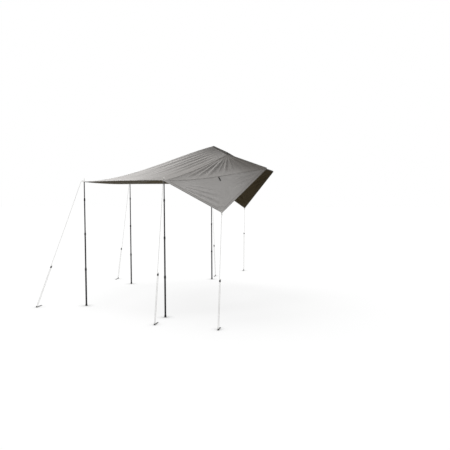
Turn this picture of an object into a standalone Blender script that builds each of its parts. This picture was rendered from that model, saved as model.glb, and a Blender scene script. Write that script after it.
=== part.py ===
"""Tent awning: a sewn fabric canopy on four telescopic poles, with six guy ropes and their pegs.

Metres, +Z up. X runs from the outer poles towards the tent, Y runs along the tent's side, and the
origin is on the ground under the middle of the canopy. "near" is the -Y side, "far" the +Y side.
"""

import math

import bmesh
import bpy
from mathutils import Matrix, Vector
from mathutils.bvhtree import BVHTree

# Plan and heights of the pitched awning
ROW_SPACING = 1.475  # from the outer pole row to the inner pole row
OUTER_SPACING = 2.20  # between the two outer poles
INNER_SPACING = 3.65  # between the two inner poles
EAVE_HEIGHT = 1.965  # the fabric's corners by the poles
TENT_SIDE = 1.40  # length of the tent's side that carries the canopy
TENT_TIP_FROM_OUTER = 1.96
TENT_LOW_FROM_OUTER = 2.84
TENT_TIP_HEIGHT = 2.535
TENT_LOW_HEIGHT = 2.175
SEAM_SHARE = 0.28  # where the gusset seam meets the tent's edge, as a share of that edge
SEAM_DROP = 0.036  # how far that point hangs below the straight edge
WING_FROM_OUTER = 2.228
WING_SPACING = 2.70  # between the two hanging wing corners
WING_HEIGHT = 1.49

# Canopy fabric, with its seams
FABRIC = 0.002
SEAM_GAP = 0.0004
CORNER_TAB = 0.026  # fabric outside each pole's axis, for the eyelet
HOLE_CLEARANCE = 0.0006  # round a spigot
RING_CLEARANCE = 0.0012  # round a ring's wire
CUT_LENGTH = 0.04  # of a cutter that passes through the sloping fabric
RIDGE_SAG = 0.081
RIDGE_SKEW = 1.9
SEAM_SAG = 0.032
SEAM_SKEW = 1.4
GUSSET_SAG = 0.035
GUSSET_SKEW = 1.8
EAVE_ARCH = 0.008  # the eave's hem is cut in a shallow arch
EAVE_SKEW = 0.6
FRONT_SAG = 0.014
ROOF_BELLY = 0.025
SLOPE_BELLY = 0.020
PANEL_STEPS = 6
TAPE_WIDTH = 0.030
TAPE_THICKNESS = 0.003
TAPE_GAP = 0.0003

# Telescopic poles: the tubes from the top down
TUBE_RADII = (0.00795, 0.0095, 0.0111, 0.0127)
TUBE_WALL = 0.0012
EXPOSED = (0.277, 0.539, 0.564)  # visible length of the first three tubes
TUBE_OVERLAP = 0.080  # how far each tube stays inside the next
SPIGOT_RADIUS = 0.004
SPIGOT_HEIGHT = 0.050  # above the fabric
SPIGOT_TIP_RADIUS = 0.0022
SPIGOT_TAPER = 0.004  # height of the narrowing tip
TUBE_PLUG = 0.012  # solid end of the top tube, below the spigot
COLLAR_HEIGHT = 0.042
COLLAR_WALL = 0.0022
COLLAR_LIP = 0.0016  # wall of the narrow upper rim
COLLAR_CHAMFER = 0.004  # height of the lower rim's chamfer
COLLAR_DRAW = 0.0008  # how far that chamfer draws in
COLLAR_SHOULDER = 0.002  # straight grip above the tube's mouth
COLLAR_GRIP = 0.0006  # depth of the grip ribs
COLLAR_SEAT = 0.028  # how far a collar reaches down over its tube
TURN_CLEARANCE = 0.00015
FOOT_RADIUS = 0.0158
FOOT_HEIGHT = 0.032
FOOT_WALL = 0.0016
FOOT_FLOOR = 0.006
FOOT_EDGE = 0.0016  # rounding of the tread
FOOT_PAD = 0.009  # height of the wide pad
FOOT_NECK = 0.014  # height where the narrow cup starts
FIT = 0.0003  # gap between touching pieces
FACETS = 16
PEG_FACETS = 12
SMOOTH_ANGLE = 40  # degrees: sharper edges stay sharp

# Guy ropes, runners, pegs and the rings of the wing corners
ROPE_RADIUS = 0.002
ROPE_BEND = 0.0068  # radius of the eye and of the turn round the peg
ROPE_SAG = 0.006
EYE_LENGTH = 0.030  # from the spigot to the knot of the eye
EYE_RISE = 0.010  # the eye above the fabric
EYE_OPENING = 60  # degrees on each side, where the eye closes in its knot
EYE_STEP = 30  # degrees
ROPE_TURN = 0.014  # legs of the bend over the canopy's corner
BEND_STEPS = 4
SAG_STEPS = 4
TURN_STEPS = 6
RETURN_TAIL = 0.014  # rope past the runner, for its knot
RUNNER_LENGTH = 0.030
RUNNER_THICKNESS = 0.0084
RUNNER_ROUNDING = 0.0024
RUNNER_EDGE = 0.0046  # from a bore's axis to the runner's side
BORE_RADIUS = 0.0026
RING_RADIUS = 0.016
RING_WIRE = 0.0025
RING_FACETS = 8
RING_INSET = 0.016  # from the wing's corner to the ring's hole
PEG_LENGTH = 0.180
PEG_RADIUS = 0.004
PEG_POINT = 0.022
PEG_HEAD_RADIUS = 0.0105
PEG_HEAD = 0.004
PEG_HEAD_EDGE = 0.001
PEG_NECK = 0.011  # from the head to the rope's turn
PEG_RISE = 0.0006  # the head's rim above the ground
PEG_TIP_RISE = 0.002  # the point above the ground

# Ground point of each rope, and the runner's place as a share of the way down
PEGS = {
    "outer_near": ((-2.130, -1.290), 0.683),
    "outer_far": ((-1.908, 1.745), 0.677),
    "inner_near": ((0.049, -2.310), 0.666),
    "inner_far": ((0.052, 2.310), 0.666),
    "wing_near": ((0.959, -2.530), 0.610),
    "wing_far": ((0.548, 3.250), 0.363),
}

# Colour, roughness and metallic value of each finish
FINISHES = {
    "canopy": ((0.40, 0.38, 0.36), 0.85, 0.0),
    "tape": ((0.06, 0.055, 0.05), 0.80, 0.0),
    "pole": ((0.012, 0.012, 0.014), 0.45, 0.3),
    "top_tube": ((0.09, 0.09, 0.10), 0.40, 0.6),
    "collar": ((0.010, 0.010, 0.010), 0.55, 0.0),
    "foot": ((0.015, 0.015, 0.015), 0.80, 0.0),
    "rope": ((0.55, 0.54, 0.50), 0.85, 0.0),
    "runner": ((0.03, 0.03, 0.03), 0.50, 0.0),
    "peg": ((0.02, 0.02, 0.02), 0.45, 0.5),
    "ring": ((0.45, 0.45, 0.45), 0.30, 1.0),
}

SIDES = {"near": -1, "far": 1}
TUBE_NAMES = ("top", "upper", "lower", "bottom")


def clear_scene():
    for item in list(bpy.data.objects):
        bpy.data.objects.remove(item)


def finish(name):
    """The named finish as a Principled material, made once."""
    if name in bpy.data.materials:
        return bpy.data.materials[name]
    colour, roughness, metallic = FINISHES[name]
    material = bpy.data.materials.new(name)
    material.use_nodes = True
    shader = material.node_tree.nodes["Principled BSDF"]
    shader.inputs["Base Color"].default_value = (*colour, 1)
    shader.inputs["Roughness"].default_value = roughness
    shader.inputs["Metallic"].default_value = metallic
    material.diffuse_color = (*colour, 1)
    return material


def add_object(name, data, finish_name, place=None, parent=None):
    """Links data as an object whose origin is at place, in the world."""
    item = bpy.data.objects.new(name, data)
    data.materials.append(finish(finish_name))
    bpy.context.scene.collection.objects.link(item)
    item.parent = parent
    if place is not None:
        item.location = place - (parent.matrix_world.translation if parent else Vector())
    bpy.context.view_layer.update()
    return item


def mesh_from(vertices, faces, smooth=True):
    mesh = bpy.data.meshes.new("piece")
    mesh.from_pydata([tuple(v) for v in vertices], [], faces)
    mesh.validate()
    work = bmesh.new()
    work.from_mesh(mesh)
    bmesh.ops.recalc_face_normals(work, faces=work.faces)
    work.to_mesh(mesh)
    work.free()
    if smooth:
        mesh.shade_smooth()
        mesh.set_sharp_from_angle(angle=math.radians(SMOOTH_ANGLE))
    return mesh


def turned(profile, closed=False, ribs=None, facets=FACETS):
    """Turns a (radius, height) profile about Z. A closed profile makes a ring with an open bore.

    ribs holds the profile's points that stand proud on every second facet, by the grip depth."""
    vertices = []
    rings = []
    for index, (radius, height) in enumerate(profile):
        if radius == 0:
            rings.append([len(vertices)] * facets)
            vertices.append(Vector((0, 0, height)))
            continue
        rings.append(range(len(vertices), len(vertices) + facets))
        for step in range(facets):
            angle = 2 * math.pi * step / facets
            proud = COLLAR_GRIP if ribs and index in ribs and step % 2 else 0
            reach = radius + proud
            vertices.append(Vector((reach * math.cos(angle), reach * math.sin(angle), height)))
    pairs = list(zip(rings, rings[1:]))
    if closed:
        pairs.append((rings[-1], rings[0]))
    faces = []
    for low, high in pairs:
        for step in range(facets):
            after = (step + 1) % facets
            corners = [low[step], low[after], high[after], high[step]]
            unique = list(dict.fromkeys(corners))
            if len(unique) > 2:
                faces.append(unique)
    return mesh_from(vertices, faces)


def inner_radius(tube):
    return TUBE_RADII[tube] - TUBE_WALL


def turning_bore(radius):
    """Corner radius of a faceted bore that turns freely on a faceted tube of that radius."""
    return (radius + TURN_CLEARANCE) / math.cos(math.pi / FACETS)


def mouth_depths():
    """How far below the fabric the mouth of the second, third and fourth tube lies."""
    return [sum(EXPOSED[: index + 1]) for index in range(len(EXPOSED))]


def top_tube_mesh(shoulder):
    """The top tube with its spigot. Its origin is on the axis, at the fabric, above its shoulder."""
    radius = TUBE_RADII[0]
    bottom = -EXPOSED[0] - TUBE_OVERLAP
    tip = SPIGOT_HEIGHT
    return turned([
        (0, tip),
        (SPIGOT_TIP_RADIUS, tip),
        (SPIGOT_RADIUS, tip - SPIGOT_TAPER),
        (SPIGOT_RADIUS, shoulder),
        (radius, shoulder),
        (radius, bottom),
        (inner_radius(0), bottom),
        (inner_radius(0), shoulder - TUBE_PLUG),
        (0, shoulder - TUBE_PLUG),
    ])


def tube_mesh(tube, length):
    """A plain tube hanging down from its mouth, which is its origin."""
    outer, inner = TUBE_RADII[tube], inner_radius(tube)
    return turned([(outer, 0), (outer, -length), (inner, -length), (inner, 0)], closed=True)


def collar_mesh(tube):
    """The twist collar on a tube's mouth. Its origin is the mouth's centre."""
    low_bore = turning_bore(TUBE_RADII[tube])
    high_bore = turning_bore(TUBE_RADII[tube - 1])
    wide = low_bore + COLLAR_WALL
    narrow = high_bore + COLLAR_LIP
    top = COLLAR_HEIGHT - COLLAR_SEAT
    return turned([
        (low_bore, -COLLAR_SEAT),
        (wide - COLLAR_DRAW, -COLLAR_SEAT),
        (wide, -COLLAR_SEAT + COLLAR_CHAMFER),
        (wide, FIT + COLLAR_SHOULDER),
        (narrow, top),
        (high_bore, top),
        (high_bore, FIT),
        (low_bore, FIT),
    ], closed=True, ribs=(2, 3))


def foot_mesh():
    """The rubber foot, a cup round the bottom tube. Its origin is on the ground."""
    bore = TUBE_RADII[3] + FIT
    return turned([
        (0, 0),
        (FOOT_RADIUS - FOOT_EDGE, 0),
        (FOOT_RADIUS, FOOT_EDGE),
        (FOOT_RADIUS, FOOT_PAD),
        (bore + FOOT_WALL, FOOT_NECK),
        (bore + FOOT_WALL, FOOT_HEIGHT),
        (bore, FOOT_HEIGHT),
        (bore, FOOT_FLOOR),
        (0, FOOT_FLOOR),
    ])


def build_pole(name):
    """Four tubes, three collars and the foot. Each child hangs on the tube above it."""
    axis, top = pole_axes()[name], pole_top(name)
    tube = add_object(f"{name}_top_tube", top_tube_mesh(rim_height(name) - top.z), "top_tube", top)
    labels = TUBE_NAMES[1:]
    bottom_end = FOOT_FLOOR + FIT
    for index, (label, depth) in enumerate(zip(labels, mouth_depths()), start=1):
        mouth = top - Vector((0, 0, depth))
        last = index == len(labels)
        length = mouth.z - bottom_end if last else EXPOSED[index] + TUBE_OVERLAP
        tube = add_object(f"{name}_{label}_tube", tube_mesh(index, length), "pole", mouth, tube)
        add_object(f"{name}_{label}_collar", collar_mesh(index), "collar", mouth, tube)
    add_object(f"{name}_foot", foot_mesh(), "foot", axis, tube)


def near_corners():
    """The canopy's corners on the near side, with X measured from the outer poles."""
    tip = Vector((TENT_TIP_FROM_OUTER, -TENT_SIDE / 2, TENT_TIP_HEIGHT))
    low = Vector((TENT_LOW_FROM_OUTER, -TENT_SIDE / 2, TENT_LOW_HEIGHT))
    outer_pole = Vector((0, -OUTER_SPACING / 2, EAVE_HEIGHT))
    inner_pole = Vector((ROW_SPACING, -INNER_SPACING / 2, EAVE_HEIGHT))
    uphill = Vector((tip.x - outer_pole.x, tip.y - outer_pole.y, 0)).normalized()
    return {
        "outer": outer_pole - uphill * CORNER_TAB,
        "inner": inner_pole - Vector((0, CORNER_TAB, 0)),
        "wing": Vector((WING_FROM_OUTER, -WING_SPACING / 2, WING_HEIGHT)),
        "tip": tip,
        "low": low,
        "seam": tip.lerp(low, SEAM_SHARE) - Vector((0, 0, SEAM_DROP)),
    }


def tape_frames(corners):
    """The tape's path, and each leg's direction, width and normal. The middle leg is the top one."""
    near = [corners["low"], corners["seam"], corners["tip"]]
    path = near + [other_side(point) for point in reversed(near)]
    top_way = Vector((0, 1, 0))
    upslope = corners["tip"] - corners["outer"]
    upslope = Vector((upslope.x, 0, upslope.z)).normalized()
    legs = []
    for start, end in zip(path, path[1:]):
        way = (end - start).normalized()
        width = top_way.rotation_difference(way) @ upslope
        legs.append((way, width, way.cross(width)))
    return path, legs


def other_side(point):
    return Vector((point.x, -point.y, point.z))


def centring_shift():
    """Moves the plan so that the origin is under the middle of the canopy's length."""
    corners = near_corners()
    _, legs = tape_frames(corners)
    _, width, normal = legs[0]
    overhang = width.x * (TAPE_GAP + TAPE_WIDTH) + abs(normal.x) * TAPE_THICKNESS / 2
    return -(corners["outer"].x + corners["low"].x + overhang) / 2


def canopy_corners(sign):
    """The canopy's corners on one side, in place."""
    shift = Vector((centring_shift(), 0, 0))
    near = {name: point + shift for name, point in near_corners().items()}
    return near if sign < 0 else {name: other_side(point) for name, point in near.items()}


def pole_axes():
    """Each pole's place on the ground."""
    axes = {}
    for row, distance, spacing in (("outer", 0, OUTER_SPACING), ("inner", ROW_SPACING, INNER_SPACING)):
        for side, sign in SIDES.items():
            axes[f"{row}_{side}"] = Vector((centring_shift() + distance, sign * spacing / 2, 0))
    return axes


def line(start, end, sag=0.0, skew=1.0):
    """A seam or hem from start to end as a function of 0 to 1. A skew over 1 sags nearer the start.

    A negative sag is an arch."""
    peak = 1 / (1 + skew)
    most = peak * (1 - peak) ** skew

    def at(share):
        drop = sag * share * (1 - share) ** skew / most
        return start.lerp(end, share) - Vector((0, 0, drop))

    return at


def canopy_lines(sign):
    """Every seam and edge of one side of the canopy, by name."""
    p = canopy_corners(sign)
    return {
        "ridge": line(p["outer"], p["tip"], RIDGE_SAG, RIDGE_SKEW),
        "eave": line(p["outer"], p["inner"], -EAVE_ARCH, EAVE_SKEW),
        "seam": line(p["inner"], p["seam"], SEAM_SAG, SEAM_SKEW),
        "gusset": line(p["inner"], p["low"], GUSSET_SAG, GUSSET_SKEW),
        "hem": line(p["inner"], p["wing"]),
        "leech": line(p["wing"], p["low"]),
        "tent_high": line(p["tip"], p["seam"]),
        "tent_low": line(p["seam"], p["low"]),
    }


def patch(low, high, left, right, belly=0.0):
    """Grid of points between four lines that share corners, sagging by belly in the middle.

    low and high run with the first index, left and right with the second."""
    grid = []
    for i in range(PANEL_STEPS + 1):
        u = i / PANEL_STEPS
        row = []
        for j in range(PANEL_STEPS + 1):
            v = j / PANEL_STEPS
            ruled = low(u) * (1 - v) + high(u) * v + left(v) * (1 - u) + right(v) * u
            flat = low(0).lerp(low(1), u).lerp(high(0).lerp(high(1), u), v)
            drop = belly * 16 * u * (1 - u) * v * (1 - v)
            row.append(ruled - flat - Vector((0, 0, drop)))
        grid.append(row)
    return grid


def canopy_patches():
    """The seven cut panels as grids of points, by node name."""
    lines = {side: canopy_lines(sign) for side, sign in SIDES.items()}
    near, far = lines["near"]["ridge"], lines["far"]["ridge"]
    front = line(near(0), far(0), FRONT_SAG)
    back = line(near(1), far(1))
    patches = {"roof_panel": patch(near, far, front, back, ROOF_BELLY)}
    for side, at in lines.items():
        inner = line(at["hem"](0), at["hem"](0))
        patches[f"slope_panel_{side}"] = patch(
            at["ridge"], at["seam"], at["eave"], at["tent_high"], SLOPE_BELLY
        )
        patches[f"gusset_{side}"] = patch(at["seam"], at["gusset"], inner, at["tent_low"])
        patches[f"wing_{side}"] = patch(at["hem"], at["gusset"], inner, at["leech"])
    return patches


def place_key(point):
    return tuple(round(c, 6) for c in point)


def welded(grid):
    """The points of a grid and its faces, wound about their upper side."""
    points, faces, number = [], [], {}
    for point in [p for row in grid for p in row]:
        if place_key(point) not in number:
            number[place_key(point)] = len(points)
            points.append(point)
    index = [[number[place_key(point)] for point in row] for row in grid]
    for i in range(len(grid) - 1):
        for j in range(len(grid[0]) - 1):
            square = [index[i][j], index[i + 1][j], index[i + 1][j + 1], index[i][j + 1]]
            for face in (square[:3], [square[0], square[2], square[3]]):
                if len(set(face)) == 3:
                    faces.append(face if normal_of(points, face).z > 0 else face[::-1])
    return points, faces


def normal_of(points, face):
    a, b, c = (points[corner] for corner in face)
    return (b - a).cross(c - a).normalized()


def point_normals(points, faces):
    totals = [Vector() for _ in points]
    for face in faces:
        for corner in face:
            totals[corner] += normal_of(points, face)
    return [total.normalized() for total in totals]


def border_edges(faces):
    edges = {(a, b) for face in faces for a, b in zip(face, face[1:] + face[:1])}
    return [(a, b) for a, b in edges if (b, a) not in edges]


def seam_insets(points, faces, normals):
    """How far each border point draws back, so that sewn panels leave the seam gap."""
    inward = {}
    for a, b in border_edges(faces):
        way = (points[b] - points[a]).normalized()
        for corner in (a, b):
            inward.setdefault(corner, []).append(normals[corner].cross(way).normalized())
    insets = {}
    for corner, ways in inward.items():
        total = sum(ways, Vector())
        insets[corner] = total * (SEAM_GAP / 2) / (1 + ways[0].dot(ways[1]))
    return insets


def panel_mesh(points, faces, normals, shared):
    """A panel as a thin plate. At a seam both panels share one normal, so that they meet in a mitre."""
    insets = seam_insets(points, faces, normals)
    upper, lower = [], []
    for number, (point, own) in enumerate(zip(points, normals)):
        common = shared[place_key(point)].normalized()
        offset = common * (FABRIC / 2 / common.dot(own))
        middle = point + insets.get(number, Vector())
        upper.append(middle + offset)
        lower.append(middle - offset)
    count = len(points)
    sides = [[a, a + count, b + count, b] for a, b in border_edges(faces)]
    under = [[corner + count for corner in reversed(face)] for face in faces]
    return mesh_from(upper + lower, faces + under + sides)


def fabric_above(place):
    """Where the canopy's middle surface is straight above a place, and its normal there."""
    for grid in canopy_patches().values():
        points, faces = welded(grid)
        hit, normal, _, _ = BVHTree.FromPolygons(points, faces).ray_cast(place, Vector((0, 0, 1)))
        if hit is not None:
            return hit, normal
    raise ValueError(f"no fabric above {tuple(place)}")


def pole_top(name):
    """Where a pole's axis meets the fabric."""
    return fabric_above(pole_axes()[name])[0]


def rim_height(name):
    """Height of a top tube's shoulder, which the sloping fabric clears all round."""
    axis = pole_axes()[name]
    rim = []
    for step in range(FACETS):
        angle = 2 * math.pi * step / FACETS
        outward = Vector((math.cos(angle), math.sin(angle), 0))
        above, normal = fabric_above(axis + outward * TUBE_RADII[0])
        rim.append(above.z - FABRIC / 2 / abs(normal.z))
    return min(rim) - FIT


def cutter(name, place, direction, radius, length):
    """A round cutter through a point. It isn't part of the awning."""
    work = bmesh.new()
    bmesh.ops.create_cone(
        work, cap_ends=True, segments=FACETS, radius1=radius, radius2=radius, depth=length
    )
    mesh = bpy.data.meshes.new(name)
    work.to_mesh(mesh)
    work.free()
    item = bpy.data.objects.new(name, mesh)
    bpy.context.scene.collection.objects.link(item)
    item.matrix_world = Matrix.Translation(place) @ direction.to_track_quat("Z", "Y").to_matrix().to_4x4()
    item.hide_render = True
    item.display_type = "WIRE"
    return item


def cut(item, tool):
    modifier = item.modifiers.new(tool.name, "BOOLEAN")
    modifier.operation = "DIFFERENCE"
    modifier.solver = "EXACT"
    modifier.object = tool


def build_canopy():
    """The seven panels with the eyelet holes for the spigots and the rings."""
    panels = {name: welded(grid) for name, grid in canopy_patches().items()}
    shared, normals = {}, {}
    for name, (points, faces) in panels.items():
        normals[name] = point_normals(points, faces)
        for point, normal in zip(points, normals[name]):
            shared[place_key(point)] = shared.get(place_key(point), Vector()) + normal
    items = {}
    for name, (points, faces) in panels.items():
        mesh = panel_mesh(points, faces, normals[name], shared)
        items[name] = add_object(name, mesh, "canopy")
    for name in pole_axes():
        hole = SPIGOT_RADIUS + HOLE_CLEARANCE
        tool = cutter(f"eyelet_cutter_{name}", pole_top(name), Vector((0, 0, 1)), hole, CUT_LENGTH)
        row, side = name.split("_")
        cut(items[f"slope_panel_{side}"], tool)
        if row == "outer":
            cut(items["roof_panel"], tool)
    for side, sign in SIDES.items():
        hole, outward, _ = wing_eyelet(sign)
        tool = cutter(f"ring_cutter_{side}", hole, outward, RING_WIRE + RING_CLEARANCE, CUT_LENGTH)
        cut(items[f"wing_{side}"], tool)


def build_tape():
    """The flat tape round the tent edge: up one side, along the top and down the other side.

    Each leg's width lies in the plane that meets its neighbours' in a mitre."""
    corners = canopy_corners(-1)
    path, legs = tape_frames(corners)
    section = [
        (across, height * TAPE_THICKNESS / 2)
        for across, height in (
            (TAPE_GAP, -1), (TAPE_GAP + TAPE_WIDTH, -1), (TAPE_GAP + TAPE_WIDTH, 1), (TAPE_GAP, 1)
        )
    ]
    rings = []
    for number, point in enumerate(path):
        before, after = max(number - 1, 0), min(number, len(legs) - 1)
        way, width, normal = legs[before if number < len(path) / 2 else after]
        mitre = legs[before][0] + legs[after][0]
        ring = []
        for across, height in section:
            offset = width * across + normal * height
            ring.append(point + offset - way * (offset.dot(mitre) / way.dot(mitre)))
        rings.append(ring)
    vertices = [vertex for ring in rings for vertex in ring]
    faces = [[0, 1, 2, 3], [len(vertices) - 4 + corner for corner in (3, 2, 1, 0)]]
    for ring in range(len(rings) - 1):
        for corner in range(4):
            a, b = ring * 4 + corner, ring * 4 + (corner + 1) % 4
            faces.append([a, b, b + 4, a + 4])
    add_object("attachment_tape", mesh_from(vertices, faces, smooth=False), "tape")


def peg_axis(name):
    """The head's centre and the direction of the peg's point. It lies along Y, head outwards."""
    (x, y), _ = PEGS[name]
    head_height = PEG_HEAD_RADIUS + PEG_RISE
    fall = head_height - PEG_TIP_RISE
    run = math.sqrt(PEG_LENGTH**2 - fall**2)
    way = Vector((0, -math.copysign(run, y), -fall)).normalized()
    return Vector((x, y, head_height)) - way * PEG_NECK, way


def wing_eyelet(sign):
    """The ring's hole in a wing's corner, the wing's outer normal and the way to the rope's peg."""
    p = canopy_corners(sign)
    inward = ((p["inner"] - p["wing"]).normalized() + (p["low"] - p["wing"]).normalized()).normalized()
    hole = p["wing"] + inward * RING_INSET
    outward = (p["inner"] - p["wing"]).cross(p["low"] - p["wing"]).normalized()
    if outward.z < 0:
        outward.negate()
    side = "near" if sign < 0 else "far"
    (x, y), _ = PEGS[f"wing_{side}"]
    return hole, outward, (Vector((x, y, 0)) - hole).normalized()


def ring_frame(sign):
    """Centre, pull direction and bar direction of a wing's ring, which hangs in its hole."""
    hole, outward, pull = wing_eyelet(sign)
    bar = (outward - pull * outward.dot(pull)).normalized()
    return hole + pull * RING_RADIUS, pull, bar


def build_ring(side, sign):
    centre, pull, bar = ring_frame(sign)
    wire = [
        (RING_RADIUS + RING_WIRE * math.cos(angle), RING_WIRE * math.sin(angle))
        for angle in (2 * math.pi * step / RING_FACETS for step in range(RING_FACETS))
    ]
    item = add_object(f"corner_ring_{side}", turned(wire, closed=True), "ring", centre)
    item.matrix_world = frame_matrix(centre, pull, bar)


def frame_matrix(place, x_axis, y_axis):
    """A matrix with the given X axis, and Y as near the given axis as it can be."""
    z_axis = x_axis.cross(y_axis).normalized()
    y_axis = z_axis.cross(x_axis)
    matrix = Matrix((x_axis, y_axis, z_axis)).transposed().to_4x4()
    matrix.translation = place
    return matrix


def eye(anchor, way, across, anchor_radius):
    """Route round a spigot or a ring's bar, from the knot and back to it."""
    centre = anchor + way * (ROPE_BEND - anchor_radius - ROPE_RADIUS - FIT)
    beside = across * (ROPE_RADIUS + FIT)
    points = [anchor + way * EYE_LENGTH - beside]
    for degrees in range(EYE_OPENING, 361 - EYE_OPENING, EYE_STEP):
        angle = -math.radians(degrees)
        points.append(centre + (way * math.cos(angle) + across * math.sin(angle)) * ROPE_BEND)
    points.append(anchor + way * EYE_LENGTH + beside)
    return points


def bend(start, corner, end):
    """A round corner, as points along it."""
    shares = [step / BEND_STEPS for step in range(BEND_STEPS + 1)]
    return [start * (1 - t) ** 2 + corner * 2 * t * (1 - t) + end * t**2 for t in shares]


def rope_start(name):
    """The rope's route from its eye to where it runs straight to the peg."""
    (x, y), _ = PEGS[name]
    row, side = name.split("_")
    if row == "wing":
        centre, pull, bar = ring_frame(SIDES[side])
        anchor = centre + pull * RING_RADIUS
        return eye(anchor, pull, pull.cross(bar), RING_WIRE)
    anchor = pole_top(name) + Vector((0, 0, EYE_RISE))
    out = Vector((x - anchor.x, y - anchor.y, 0)).normalized()
    route = eye(anchor, out, Vector((0, 0, 1)).cross(out), SPIGOT_RADIUS)
    corner = route[-1] + out * ROPE_TURN
    down = (Vector((x, y, 0)) - corner).normalized()
    return route[:-1] + bend(route[-1], corner, corner + down * ROPE_TURN)


def guy_rope(name):
    """Route of a whole rope, and the place and axes of its runner."""
    route = rope_start(name)
    top = route[-1]
    head, peg_way = peg_axis(name)
    turn = head + peg_way * PEG_NECK
    down = (turn - top).normalized()
    across = down.cross(peg_way).normalized()
    reach = (PEG_RADIUS + ROPE_RADIUS + FIT) / down.cross(peg_way).length
    centre = turn + down * (reach - ROPE_BEND)
    foot = centre - across * ROPE_BEND
    share = PEGS[name][1]
    runner = top.lerp(foot, share)
    way = (foot - top).normalized()
    for step in range(1, SAG_STEPS):
        t = step / SAG_STEPS
        route.append(top.lerp(runner, t) - Vector((0, 0, ROPE_SAG * 4 * t * (1 - t))))
    grip = way * RUNNER_LENGTH / 2
    route += [runner - grip, runner + grip, foot - way * ROPE_BEND]
    for step in range(TURN_STEPS + 1):
        angle = -math.pi / 2 + math.pi * step / TURN_STEPS
        route.append(centre + (down * math.cos(angle) + across * math.sin(angle)) * ROPE_BEND)
    back = across * 2 * ROPE_BEND
    route += [runner + back + grip, runner + back - grip - way * RETURN_TAIL]
    return route, runner + back / 2, across, way


def build_rope(name, route):
    curve = bpy.data.curves.new(name, "CURVE")
    curve.dimensions = "3D"
    curve.bevel_depth = ROPE_RADIUS
    curve.bevel_resolution = 2
    curve.use_fill_caps = True
    spline = curve.splines.new("POLY")
    spline.points.add(len(route) - 1)
    for point, place in zip(spline.points, route):
        point.co = (*place, 1)
    add_object(name, curve, "rope")


def build_runner(name, place, across, way):
    """A flat bar with a bore for each strand. Its origin is between the strands, on the slide's axis."""
    work = bmesh.new()
    width = 2 * (ROPE_BEND + RUNNER_EDGE)
    size = Matrix.Diagonal((width, RUNNER_THICKNESS, RUNNER_LENGTH, 1))
    bmesh.ops.create_cube(work, size=1, matrix=size)
    upright = [e for e in work.edges if abs(e.verts[0].co.z - e.verts[1].co.z) > RUNNER_LENGTH / 2]
    bmesh.ops.bevel(work, geom=upright, offset=RUNNER_ROUNDING, segments=2, affect="EDGES")
    mesh = bpy.data.meshes.new(name)
    work.to_mesh(mesh)
    work.free()
    item = add_object(name, mesh, "runner", place)
    item.matrix_world = frame_matrix(place, across, way.cross(across))
    for hand in (-1, 1):
        bore = place + across * ROPE_BEND * hand
        cut(item, cutter(f"{name}_bore_cutter_{hand + 1}", bore, way, BORE_RADIUS, RUNNER_LENGTH * 2))


def build_peg(name, head, way):
    """A round steel peg. Its origin is the top of its head, and +Z its point."""
    mesh = turned([
        (0, -PEG_HEAD),
        (PEG_HEAD_RADIUS - PEG_HEAD_EDGE, -PEG_HEAD),
        (PEG_HEAD_RADIUS, -PEG_HEAD + PEG_HEAD_EDGE),
        (PEG_HEAD_RADIUS, 0),
        (PEG_RADIUS, 0),
        (PEG_RADIUS, PEG_LENGTH - PEG_POINT),
        (0, PEG_LENGTH),
    ], facets=PEG_FACETS)
    item = add_object(name, mesh, "peg", head)
    item.matrix_world = Matrix.Translation(head) @ way.to_track_quat("Z", "Y").to_matrix().to_4x4()


def build_guy(name):
    route, place, across, way = guy_rope(name)
    build_rope(f"guy_rope_{name}", route)
    build_runner(f"runner_{name}", place, across, way)
    head, peg_way = peg_axis(name)
    build_peg(f"peg_{name}", head, peg_way)


def main():
    clear_scene()
    build_canopy()
    build_tape()
    for side, sign in SIDES.items():
        build_ring(side, sign)
    for name in pole_axes():
        build_pole(name)
    for name in PEGS:
        build_guy(name)


main()
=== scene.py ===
# %% [markdown]
# # An awning, dressed for its picture
#
# The awning is a sewn fabric canopy. One side of it is fastened high up, four telescopic poles
# hold the rest, and six guy ropes pull it tight. The construction is already there as a fixed
# frame of plain solids. This file gives them their looks: cloth with folds, seams and hems, rope
# with its braid, and moulded and painted parts.
#
# Metres, +Z up. X runs from the outer poles towards the fastened side, and "near" is the -Y side.

# %% Load the frame
import math
import random

import bmesh
import bpy
import numpy as np
from mathutils import Matrix, Vector
from mathutils.bvhtree import BVHTree


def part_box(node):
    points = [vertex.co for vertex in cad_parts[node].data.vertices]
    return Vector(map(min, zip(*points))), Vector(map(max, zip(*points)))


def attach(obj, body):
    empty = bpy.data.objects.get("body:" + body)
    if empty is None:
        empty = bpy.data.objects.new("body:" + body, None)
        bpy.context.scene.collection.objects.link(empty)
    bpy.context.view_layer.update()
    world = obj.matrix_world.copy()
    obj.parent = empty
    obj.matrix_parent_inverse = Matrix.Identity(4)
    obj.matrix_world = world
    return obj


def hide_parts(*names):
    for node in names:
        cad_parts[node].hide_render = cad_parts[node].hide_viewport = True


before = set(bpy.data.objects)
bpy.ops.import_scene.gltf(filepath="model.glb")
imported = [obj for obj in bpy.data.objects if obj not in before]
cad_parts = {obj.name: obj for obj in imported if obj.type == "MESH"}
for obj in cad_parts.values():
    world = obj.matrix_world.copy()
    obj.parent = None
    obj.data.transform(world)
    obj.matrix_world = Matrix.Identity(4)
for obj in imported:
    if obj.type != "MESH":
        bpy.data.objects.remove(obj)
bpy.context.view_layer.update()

SIDES = {"near": -1, "far": 1}
POLES = ("outer_near", "outer_far", "inner_near", "inner_far")

# %% [markdown]
# ## Camera
#
# The picture was taken from the near side, at eye height. The camera's place comes from matching
# the tops and feet of the poles. The awning is left of the middle of the picture, so the lens is
# shifted a little and the camera is turned a little to the left, which together frame it as in
# the picture.

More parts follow.
